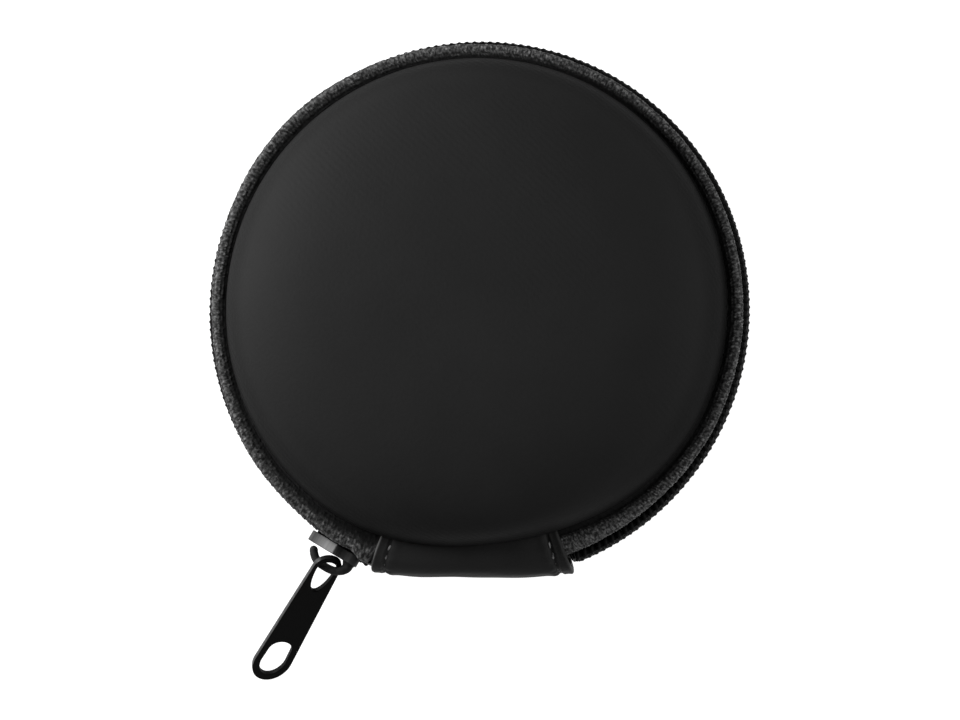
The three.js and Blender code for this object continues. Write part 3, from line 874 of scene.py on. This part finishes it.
FOLD_WIDTH = 1.65  # the folded end of the strip
FOLD_RISE = 0.13
GROOVE_DEPTH = 0.16
GROOVE_WIDTH = 0.32
PUFF_RISE = 0.1
END_FLARE = 0.22
SEAM_WIDTH = 0.8  # the strip is pressed flat this near to its upper and lower edges
PUCKER = 0.05
PUCKER_PITCH = 1.35
END_ROUND = 0.25
STRIP_RADIUS = 41.1  # lengths along the strip are measured at this radius


def strip_outer(angle):
    share = (angle - STRIP_CENTRE) / STRIP_HALF
    end = np.where(share < 0, STRIP_END_RADIUS["left"], STRIP_END_RADIUS["right"])
    rise = 1 - np.maximum(0, 1 - share**2) ** STRIP_SQUARENESS
    return STRIP_MIDDLE_RADIUS + (end - STRIP_MIDDLE_RADIUS) * rise


def strip_line(depth, half_height, count):
    """A rounded half tube between the two rims, with squared shoulders."""
    turn = np.linspace(-math.pi / 2, math.pi / 2, count)
    across = np.maximum(np.cos(turn), 0) ** STRIP_SHOULDER
    along = powered(np.sin(turn), STRIP_SHOULDER)
    return np.stack([STRIP_ROOT + depth * across, half_height * along], -1)


def fit_strip(angle, radius):
    """The radius that a point of the even strip has at an angle."""
    root = STRIP_ROOT * drawn_in(angle, RIM_HEIGHT)
    stretch = (strip_outer(angle) - root) / STRIP_DEPTH
    return root + (radius - STRIP_ROOT) * stretch


def from_end(angle):
    """Distance in mm to the nearer end of the strip."""
    inside = STRIP_HALF - np.abs(angle - STRIP_CENTRE)
    return np.radians(inside) * STRIP_RADIUS


def strip_rise(d):
    """How far the outside stands up at a distance from the strip's end: a folded hem, the
    groove that its stitches pull down, and a slight puff beside it."""
    groove = math.radians(STITCH_INSET) * STRIP_RADIUS
    hem = FOLD_RISE * (1 - smoothstep(d, FOLD_WIDTH - 0.2, FOLD_WIDTH + 0.15))
    flare = END_FLARE * (1 - smoothstep(d, 0, 1.3))
    pull = GROOVE_DEPTH * bell(d - groove, GROOVE_WIDTH)
    puff = PUFF_RISE * bell(d - groove - 1.0, 0.7)
    return hem + flare - pull + puff


def strip_angles():
    """Closely spaced near the folded ends, wider in the middle."""
    fine = np.concatenate([[0.004, 0.02], np.arange(0.06, 3.6, 0.07)])
    coarse = np.arange(3.6, math.radians(STRIP_HALF) * STRIP_RADIUS, 0.3)
    d = np.degrees(np.concatenate([fine, coarse]) / STRIP_RADIUS)
    return np.concatenate([STRIP_FROM + d, (STRIP_TO - d)[::-1]])


def bend_over_hinge(made):
    """Bakes the piece's transform into its mesh."""
    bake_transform(made)


def hinge_strip():
    half = STRIP_THICKNESS / 2
    centre = spaced(strip_line(STRIP_DEPTH - half, STRIP_HALF_HEIGHT - half, 120), 72)
    section, where, out, face = ribbon(centre[::-1], half, 5)
    outward = 1 if section[len(centre) // 2, 0] > centre[:, 0].max() else -1
    angle = strip_angles()[:, None]
    d = from_end(angle)
    thin = np.sqrt(1 - (1 - np.clip(d / END_ROUND, 0.02, 1)) ** 2)
    middle = section - out * half
    offset = thin * half
    outer_side = np.where(face == outward, 1.0, 0.0)
    along = np.radians(angle - STRIP_CENTRE) * STRIP_RADIUS
    crease = 0.05 * ripples(along * 0.45, where[None, :] * 1.3, 3.2, 21)
    crease = crease + 0.045 * ripples(along, where[None, :], 9, 22)
    pucker = PUCKER * np.sin(where[None, :] * 2 * math.pi / PUCKER_PITCH) * bell(d - 2.5, 0.8)
    rise = (strip_rise(d) + crease + pucker) * outer_side * smoothstep(d, -0.2, 0.5)
    width = where.max()
    seam = smoothstep(where, 0, SEAM_WIDTH) * smoothstep(-where, -width, SEAM_WIDTH - width)
    offset = offset + rise * (0.25 + 0.75 * seam)
    radius = middle[:, 0] + out[:, 0] * offset
    height = middle[:, 1] + out[:, 1] * offset
    points = place(angle, fit_strip(angle, radius), height)
    # Painted highlight on the left end edge of the strip's outer side
    painted_light = (1 - smoothstep(d, 0.1, 0.45)) * outer_side * (angle < STRIP_CENTRE)
    made = Surface().grid(points, joined(along, where), painted_light)
    made = made.build("hinge_leather_strip", strip_look, "hinge_leather")
    bend_over_hinge(made)
    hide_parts("hinge_strip")


STITCH_PITCH = 1.32
STITCH_LENGTH = 0.72
STITCH_THREAD = 0.17
STITCH_MARGINS = (1.2, 0.8)  # no stitch has its middle nearer to the strip's lower or upper edge
STITCH_LIFT = 0.07
STITCH_SINK = 0.24
STITCH_LEAN = 0.25


def hinge_stitches(name, angle, replaced):
    """Short stitches in the groove, from rim to rim over the strip."""
    groove = float(strip_rise(np.array(math.radians(STITCH_INSET) * STRIP_RADIUS)))
    line = strip_line(STRIP_DEPTH + groove, STRIP_HALF_HEIGHT + groove, 400)
    lengths = arc_lengths(line)
    out = unit(np.gradient(line, axis=0))[:, ::-1] * [1, -1]
    made = Surface()
    share = np.linspace(-0.5, 0.5, 7)
    for middle in np.arange(STITCH_MARGINS[0], lengths[-1] - STITCH_MARGINS[1], STITCH_PITCH):
        at = middle + share * STITCH_LENGTH
        sunk = dice.uniform(0, STITCH_SINK)
        lift = STITCH_LIFT - sunk - STITCH_DIVE * (2 * share) ** 4
        radius = np.interp(at, lengths, line[:, 0]) + lift * np.interp(at, lengths, out[:, 0])
        height = np.interp(at, lengths, line[:, 1]) + lift * np.interp(at, lengths, out[:, 1])
        stitch = place(angle + STITCH_LEAN * share, fit_strip(angle, radius), height)
        made.thread(stitch, STITCH_THREAD, 8)
    row = made.build(name, stitch_look, "stitch_thread")
    bend_over_hinge(row)
    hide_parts(replaced)


HINGE_LINING_LINE = [(34.5, -4.5), (34.95, -2.6), (35.45, 0), (34.95, 2.6), (34.5, 4.5)]
HINGE_LINING_HALF = 0.28
HINGE_LINING_RADIUS = 35  # lengths along it are measured at this radius


def hinge_lining():
    """The fabric panel that closes the gap between the two linings."""
    centre = spaced(curve_through(HINGE_LINING_LINE), 40)
    section, where, out, _ = ribbon(centre, HINGE_LINING_HALF)
    angle = np.linspace(STRIP_FROM, STRIP_TO, 90)[:, None]
    along = np.radians(angle) * HINGE_LINING_RADIUS
    wave = 0.07 * ripples(along, where[None, :], 5, 31)
    points = on_wall(angle, section[:, 0] + out[:, 0] * wave, section[:, 1] + out[:, 1] * wave)
    made = Surface().grid(points, joined(along, where))
    made = made.build("hinge_knit_lining", lining_look, "lining_fabric")
    bend_over_hinge(made)
    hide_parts("hinge_lining")


hinge_strip()
hinge_stitches("hinge_stitches_left", STRIP_FROM + STITCH_INSET, "hinge_stitch_left")
hinge_stitches("hinge_stitches_right", STRIP_TO - STITCH_INSET, "hinge_stitch_right")
hinge_lining()

# -------- mesh pocket

net_low, net_high = corners("mesh_pocket").min(0), corners("mesh_pocket").max(0)
POCKET_Z = (net_low[2] + net_high[2]) / 2
POCKET_MOUTH = net_high[1]
POCKET_RADIUS = radii("mesh_pocket")[1] + 0.4
NET_PITCH = 1.25
NET_STRAND = 0.16
NET_STEP = 0.42  # between the points of a strand
NET_SLANT = 32  # degrees of each set of strands from the Y axis
NET_WEAVE = 0.1
MOUTH_TUCK = 0.6  # this much of the net is in the elastic
NET_SAG = 0.35
SAG_CENTRE_Y = -8
SAG_RADIUS = 24


def net_height(x, y):
    """The net hangs a little in its middle."""
    share = np.clip(1 - (x**2 + (y - SAG_CENTRE_Y) ** 2) / SAG_RADIUS**2, 0, 1)
    return POCKET_Z - NET_SAG * share**1.5


def net_pocket():
    """Net with diamond holes. Its two sets of strands weave past each other, and its edge is
    caught under the lid's binding."""
    made = Surface()
    reach = 2 * POCKET_RADIUS
    for set_sign in (1, -1):
        heading = math.radians(90 + set_sign * NET_SLANT)
        run = np.array([math.cos(heading), math.sin(heading)])
        cross = np.array([-run[1], run[0]])
        count = int(reach / NET_PITCH)
        for k in range(-count // 2, count // 2 + 1):
            steps = np.arange(-reach / 2, reach / 2, NET_STEP)
            line = steps[:, None] * run + k * NET_PITCH * cross
            radius = np.hypot(line[:, 0], line[:, 1])
            share = drawn_in(np.degrees(np.arctan2(line[:, 0], -line[:, 1])), POCKET_Z - MID)
            inside = (radius < POCKET_RADIUS * share) & (line[:, 1] < POCKET_MOUTH + MOUTH_TUCK)
            if inside.sum() < 5:
                continue
            line, steps = line[inside], steps[inside]
            weave = set_sign * NET_WEAVE * np.cos(math.pi * (steps / NET_PITCH * 1.11 + k))
            z = net_height(line[:, 0], line[:, 1]) + weave
            made.thread(np.column_stack([line, z]), NET_STRAND, 5)
    net = made.build("lid_net_pocket", net_look, "pocket_net")
    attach(net, "lid")
    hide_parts("mesh_pocket")
    return net


ELASTIC_RIB_PITCH = 0.42
ELASTIC_RIB_RISE = 0.05
ELASTIC_GATHER = 0.05
ELASTIC_GATHER_PITCH = 1.1
ELASTIC_SQUARENESS = 0.3
ZIGZAG_STEP = 0.9
ZIGZAG_HALF = 0.75
ZIGZAG_MARGIN = 0.8


def pocket_elastic():
    """Ribbed elastic along the pocket's mouth, gathered a little, with a zigzag of thread."""
    low, high = corners("pocket_elastic").min(0), corners("pocket_elastic").max(0)
    centre_y, centre_z = (low[1] + high[1]) / 2, (low[2] + high[2]) / 2
    half_width, half_thick = (high[1] - low[1]) / 2, (high[2] - low[2]) / 2 - 0.06
    x = np.linspace(low[0], high[0], 420)[:, None]
    around = np.linspace(0, 2 * math.pi, 72, endpoint=False)[None, :]
    c, s = np.cos(around), np.sin(around)
    y = half_width * powered(c, ELASTIC_SQUARENESS)
    z = half_thick * powered(s, ELASTIC_SQUARENESS)
    ribs = 0.5 + 0.5 * np.cos(y * 2 * math.pi / ELASTIC_RIB_PITCH)
    gather = ELASTIC_GATHER * np.sin(x * 2 * math.pi / ELASTIC_GATHER_PITCH + 0.6 * np.sin(x * 0.9))
    top = np.abs(s) > 0.4
    lift = np.where(top, ELASTIC_RIB_RISE * ribs, 0) * np.sign(s) + gather
    points = joined(x, centre_y + y, centre_z + z + lift)
    # The colour mark follows the ribs: painted highlight on their tops, painted shade between them
    mark = np.broadcast_to(np.where(top, 0.3 + 0.7 * ribs, 0.4), points.shape[:2])
    band = Surface().grid(points, joined(x, around * half_width), mark)
    band = band.build("pocket_elastic_band", elastic_look, "pocket_elastic")
    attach(band, "lid")
    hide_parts("pocket_elastic")

    zig = np.arange(low[0] + ZIGZAG_MARGIN, high[0] - ZIGZAG_MARGIN, ZIGZAG_STEP)
    y = centre_y + ZIGZAG_HALF * np.where(np.arange(len(zig)) % 2, 1, -1)
    thread = Surface()
    for level in (-1, 1):
        z = np.full(len(zig), centre_z + level * (half_thick + 0.07))
        thread.thread(curve_through(np.column_stack([zig, y, z]), 4), SEWING_THREAD, 5)
    sewn = thread.build("pocket_elastic_zigzag", dark_thread, "stitch_thread")
    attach(sewn, "lid")


net = net_pocket()
# The net is cut as a disc with its top cut off straight at the mouth
net_radius, net_mouth = POCKET_RADIUS * MM, POCKET_MOUTH * MM
half_chord = math.sqrt(net_radius**2 - net_mouth**2)
net_area = net_radius**2 * (math.pi / 2 + math.asin(net_mouth / net_radius))
net_area += net_mouth * half_chord
pocket_elastic()

# -------- slider and pull tab

# In the slider's frame +X points outwards, +Y along the zipper towards the hinge, and +Z up
slider_frame = Matrix.Translation((0, 0, MID)) @ Matrix.Rotation(
    math.radians(SLIDER_ANGLE - 90), 4, "Z"
)


def moved(points, matrix):
    m = np.array(matrix)
    return points @ m[:3, :3].T + m[:3, 3]


def add_plate(surface, outlines, thickness, bevel, matrix, edge_mark):
    """A flat plate with rounded edges, drawn in its own XY plane. The first outline is its
    outside and the others are holes. edge_mark gives the mark of its edges at each point."""
    curve = bpy.data.curves.new("outline", "CURVE")
    curve.dimensions = "2D"
    curve.fill_mode = "BOTH"
    curve.extrude = thickness / 2 - bevel
    curve.bevel_depth = bevel
    curve.bevel_resolution = 3
    curve.offset = -bevel
    for outline in outlines:
        spline = curve.splines.new("POLY")
        spline.points.add(len(outline) - 1)
        flat = np.column_stack([outline, np.zeros(len(outline)), np.ones(len(outline))])
        spline.points.foreach_set("co", flat.ravel())
        spline.use_cyclic_u = True
    drawing = bpy.data.objects.new("outline", curve)
    mesh = bpy.data.meshes.new_from_object(drawing)
    points = np.array([v.co for v in mesh.vertices])
    keys = [tuple(p) for p in np.round(points, 4).tolist()]
    first = {}
    shared = [first.setdefault(key, len(first)) for key in keys]
    points = np.array(list(first))
    faces, flats = [], []
    for polygon in mesh.polygons:
        face = [shared[k] for k in polygon.vertices]
        if len(set(face)) == len(face):
            faces.append(face)
            flats.append(abs(polygon.normal.z) > 0.999)
    bpy.data.objects.remove(drawing)
    bpy.data.curves.remove(curve)
    bpy.data.meshes.remove(mesh)
    depth = thickness / 2 - np.abs(points[:, 2])
    mark = edge_mark(points) * smoothstep(depth, 0, bevel * 0.8)
    surface.solid(moved(points, matrix), faces, flats, mark, points[:, :2])


def ellipse(centre_x, centre_y, half_x, half_y, start, end, count):
    turn = np.radians(np.linspace(start, end, count))
    return np.stack([centre_x + half_x * np.cos(turn), centre_y + half_y * np.sin(turn)], -1)


SLIDER_LENGTH = 8.0
PLATE_HALF = 2.9
NOSE_HALF = 1.9
OUTER_PLATE = (40.45, 42.05)
INNER_PLATE = (36.15, 37.1)
PLATE_BEVEL = 0.16
# Each box has its limits across and along the zipper, and the radius of its corners
FLANGE_BOX = (38.75, OUTER_PLATE[0] + 0.3, -3.3, 0.4, 0.3)
FLANGE_HEIGHT = 2.3
FLANGE_THICKNESS = 0.45
POST_BOX = (INNER_PLATE[1] - 0.3, OUTER_PLATE[0] + 0.3, 2.2, 3.8, 0.2)
POST_THICKNESS = 0.3
RIB_BOX = (39.6, OUTER_PLATE[0] + 0.2, 0.2, 3.5, 0.2)
RIB_THICKNESS = 0.5
BOSS_LINE = [(41.3, 2.7, 0), (42.0, 2.8, 0), (42.5, 2.85, 0)]
BOSS_RADII = [1.3, 1.0, 0.8]


def slider_outline():
    """Wide at the back and narrow at the nose, which points to the hinge."""
    rear, nose = -SLIDER_LENGTH / 2, SLIDER_LENGTH / 2
    corner = 0.7
    upper = [
        ellipse(nose - 1.5, 0, 1.5, NOSE_HALF - 0.15, 0, 80, 12),
        curve_through([(1.4, NOSE_HALF), (0.95, NOSE_HALF + 0.15), (0.68, PLATE_HALF - 0.6)], 4),
        ellipse(0.13, PLATE_HALF - 0.5, 0.5, 0.5, 0, 90, 7),
        ellipse(rear + corner, PLATE_HALF - corner, corner, corner, 90, 180, 8),
    ]
    upper = np.concatenate(upper)
    return np.concatenate([upper, upper[::-1] * [1, -1]])


def box_outline(x0, x1, y0, y1, corner):
    parts = [
        ellipse(x, y, corner, corner, turn, turn + 90, 5)
        for x, y, turn in (
            (x1 - corner, y1 - corner, 0),
            (x0 + corner, y1 - corner, 90),
            (x0 + corner, y0 + corner, 180),
            (x1 - corner, y0 + corner, 270),
        )
    ]
    return np.concatenate(parts)


# A plate drawn in XY stands across the slider: its x runs along the zipper and its y is up
ACROSS = Matrix(((0, 0, 1, 0), (1, 0, 0, 0), (0, 1, 0, 0), (0, 0, 0, 1)))


def plate_at(radius):
    return slider_frame @ Matrix.Translation((radius, 0, 0)) @ ACROSS


def bare_edge_painted_highlight(points):
    """The plate's edge is bare brush-streaked metal from ahead of its middle, where it carries a
    painted highlight, and keeps its dark lacquer at the nose as painted shade.
    """
    x = points[:, 0]
    return 0.1 + 0.9 * smoothstep(x, -1.9, -0.5) * (1 - smoothstep(x, 0.05, 0.4))


def slider_body():
    made = Surface()
    outline = without_doubles(slider_outline())
    # The plates' edges carry a painted highlight ahead of the middle and painted shade at the nose
    for near, far in (OUTER_PLATE, INNER_PLATE):
        add_plate(made, [outline], far - near, PLATE_BEVEL, plate_at((near + far) / 2), bare_edge_painted_highlight)
    flange = box_outline(*FLANGE_BOX)
    for sign in (1, -1):
        lying = slider_frame @ Matrix.Translation((0, 0, sign * FLANGE_HEIGHT))
        add_plate(made, [flange], FLANGE_THICKNESS, 0.14, lying, lambda points: 0.1)
    post = box_outline(*POST_BOX)
    add_plate(made, [post], POST_THICKNESS, 0.08, slider_frame, lambda points: 0.1)
    # The rib on the inside of the outer plate, which keeps the coils in
    rib = box_outline(*RIB_BOX)
    add_plate(made, [rib], RIB_THICKNESS, 0.1, slider_frame, lambda points: 0.0)
    # The boss that the bail is cast on
    cast_rod(made, BOSS_LINE, BOSS_RADII, 1.0)
    body = made.build("slider_cast_body", slider_look, "slider_metal")
    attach(body, "slider")
    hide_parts("slider_body")


def cast_rod(surface, line, radius, uv_radius):
    """A round rod of the slider, given in its frame, with hardly any bare edge."""
    rings = moved(tube(line, radius, 20), slider_frame)
    surface.grid(rings, tube_uv(rings, uv_radius), np.full(rings.shape[:2], 0.03))


def without_doubles(outline):
    """The outline without repeated points."""
    step = np.linalg.norm(outline - np.roll(outline, 1, axis=0), axis=1)
    return outline[step > 1e-3]


BAIL_LINE = [
    (42.2, 2.85, 0),
    (42.75, 2.85, 0),
    (43.4, 2.5, 0),
    (43.95, 1.8, 0),
    (44.2, 0.9, 0),
    (PIVOT_RADIUS, 0, 0),
    (44.2, -1.0, 0),
    (43.9, -1.8, 0),
    (43.45, -2.35, 0),
    (42.95, -2.75, 0),
]
BAIL_WIRE = 1.25


def slider_bail():
    line = curve_through(BAIL_LINE, 8)
    lengths = arc_lengths(line) / arc_lengths(line)[-1]
    radius = BAIL_WIRE / 2 * (1 + 0.3 * (1 - smoothstep(lengths, 0, 0.3)))
    made = Surface()
    cast_rod(made, line, radius, BAIL_WIRE / 2)
    bail = made.build("slider_wire_bail", slider_look, "slider_metal")
    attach(bail, "slider")
    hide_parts("slider_bail")


TAB_TIP = 25.5
TAB_EYE_END = 2.42
TAB_TOP_HALF = 2.15
TAB_END_HALF = 2.94
TAB_TIP_LENGTH = 4.0
TAB_THICKNESS = 0.8
TAB_BEVEL = 0.09
TAB_DROOP = 41.2
TAB_ROLL = 40
TAB_YAW = 6
TAB_SLIP = 0.25  # it has slid along the wire
EYE = {"start": -1.5, "end": 5.1, "half": 1.5, "fullness": 3.1, "point": 0.7}
SLOT = {"start": 16.8, "end": 24.2, "half": 1.93, "top": 1.9, "bottom": 3.0}


def bezier(a, b, c, d, count):
    t = np.linspace(0, 1, count)[:, None]
    a, b, c, d = np.array([a, b, c, d])
    return a * (1 - t) ** 3 + 3 * b * t * (1 - t) ** 2 + 3 * c * t**2 * (1 - t) + d * t**3


def worn_sides(points):
    """The tab's long sides are rubbed paler than its holes and its tip."""
    share = points[:, 0] / (TAB_TIP - TAB_TIP_LENGTH)
    half_width = TAB_TOP_HALF + (TAB_END_HALF - TAB_TOP_HALF) * share
    return 0.15 + 0.85 * smoothstep(np.abs(points[:, 1]), half_width - 0.6, half_width - 0.2)


def pull_tab():
    """A flat tapered tab with a drop-shaped eye on the bail and a rounded slot near its tip."""
    outside = np.concatenate(
        [
            ellipse(-TAB_EYE_END + TAB_TOP_HALF, 0, TAB_TOP_HALF, TAB_TOP_HALF, 90, 270, 40),
            ellipse(TAB_TIP - TAB_TIP_LENGTH, 0, TAB_TIP_LENGTH, TAB_END_HALF, -90, 90, 48),
        ]
    )
    middle, half, end = EYE["start"] + EYE["half"], EYE["half"], EYE["end"]
    full = middle + EYE["fullness"]
    right = bezier((middle, -half), (full, -half), (end, -EYE["point"]), (end, 0), 20)
    eye = np.concatenate(
        [ellipse(middle, 0, half, half, 90, 270, 28), right[1:], right[-2:0:-1] * [1, -1]]
    )
    slot = np.concatenate(
        [
            ellipse(SLOT["start"] + SLOT["top"], 0, SLOT["top"], SLOT["half"] - 0.15, 90, 270, 30),
            ellipse(SLOT["end"] - SLOT["bottom"], 0, SLOT["bottom"], SLOT["half"], -90, 90, 34),
        ]
    )
    tab_frame = (
        slider_frame
        @ Matrix.Translation((PIVOT_RADIUS, TAB_SLIP, 0))
        @ Matrix.Rotation(math.radians(-TAB_YAW), 4, "Z")
        @ Matrix.Rotation(math.radians(TAB_DROOP), 4, "Y")
        @ Matrix.Rotation(math.radians(-TAB_ROLL), 4, "X")
    )
    made = Surface()
    add_plate(made, [outside, eye, slot], TAB_THICKNESS, TAB_BEVEL, tab_frame, worn_sides)
    tab = made.build("pull_tab_plate", tab_look, "tab_metal")
    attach(tab, "pull")
    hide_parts("pull_tab")


slider_body()
slider_bail()
pull_tab()

# -------- floor, light and camera

def floor_look():
    look, tree, shader = new_look("floor_white", 0.9, specular=0.0)
    where = add(tree, "TexCoord").outputs["Object"]
    tone = ramp(tree, noise(tree, where, 3.0, 2.0), grey(0.28), grey(0.32))
    tree.links.new(tone, shader.inputs["Base Color"])
    shader.inputs["Emission Color"].default_value = grey(1.0)
    shader.inputs["Emission Strength"].default_value = FLOOR_GLOW
    return look


FLOOR_GLOW = 0.95
FLOOR_HALF = 3.0  # metres
floor_mesh = bpy.data.meshes.new("floor")
floor_mesh.from_pydata(
    [(x * FLOOR_HALF, y * FLOOR_HALF, 0) for x, y in ((-1, -1), (1, -1), (1, 1), (-1, 1))],
    [],
    [(0, 1, 2, 3)],
)
floor_mesh.materials.append(floor_look())
floor = bpy.data.objects.new("floor", floor_mesh)
bpy.context.scene.collection.objects.link(floor)


LIGHT_TARGET = (0, 0, 0.0175)  # metres
WORLD_STRENGTH = 0.16


def area_light(name, where, size, power):
    """A round light that looks at the middle of the case. Its place and size are in metres."""
    light = bpy.data.lights.new(name, "AREA")
    light.shape = "DISK"
    light.size = size
    light.energy = power
    made = bpy.data.objects.new(name, light)
    made.location = where
    made.visible_camera = False
    bpy.context.scene.collection.objects.link(made)
    away = Vector(LIGHT_TARGET) - made.location
    made.rotation_euler = away.to_track_quat("-Z", "Y").to_euler()


area_light("key", (-0.15, 0.06, 0.105), 0.15, 0.68)
area_light("fill", (0.5, 0.05, 0.3), 0.4, 2.45)

world = bpy.data.worlds.new("studio")
world.use_nodes = True
background = world.node_tree.nodes["Background"]
background.inputs["Color"].default_value = grey(1.0)
background.inputs["Strength"].default_value = WORLD_STRENGTH
scene = bpy.context.scene
scene.world = world
scene.view_settings.view_transform = "Standard"

CAMERA_LENS = 300.0
CAMERA_SENSOR = 36.0
FRAME_WIDTH = 142.3  # width of what the camera sees at the mid plane, in mm
CAMERA_TILT = 8.0  # degrees off the vertical, towards +X -Y
CAMERA_TARGET = (0.156, -7.3)
camera_data = bpy.data.cameras.new("camera")
camera_data.lens = CAMERA_LENS
camera_data.sensor_width = CAMERA_SENSOR
camera_data.clip_end = 20
camera = bpy.data.objects.new("camera", camera_data)
scene.collection.objects.link(camera)
target = Vector((*CAMERA_TARGET, MID)) * MM
tilt = math.radians(CAMERA_TILT)
back = Vector((math.sin(tilt) * math.sqrt(0.5), -math.sin(tilt) * math.sqrt(0.5), math.cos(tilt)))
camera.location = target + back * (FRAME_WIDTH * MM * CAMERA_LENS / CAMERA_SENSOR)
side_axis = Vector((0, 1, 0)).cross(back).normalized()
up_axis = back.cross(side_axis)
camera.rotation_euler = Matrix((side_axis, up_axis, back)).transposed().to_euler()
scene.camera = camera
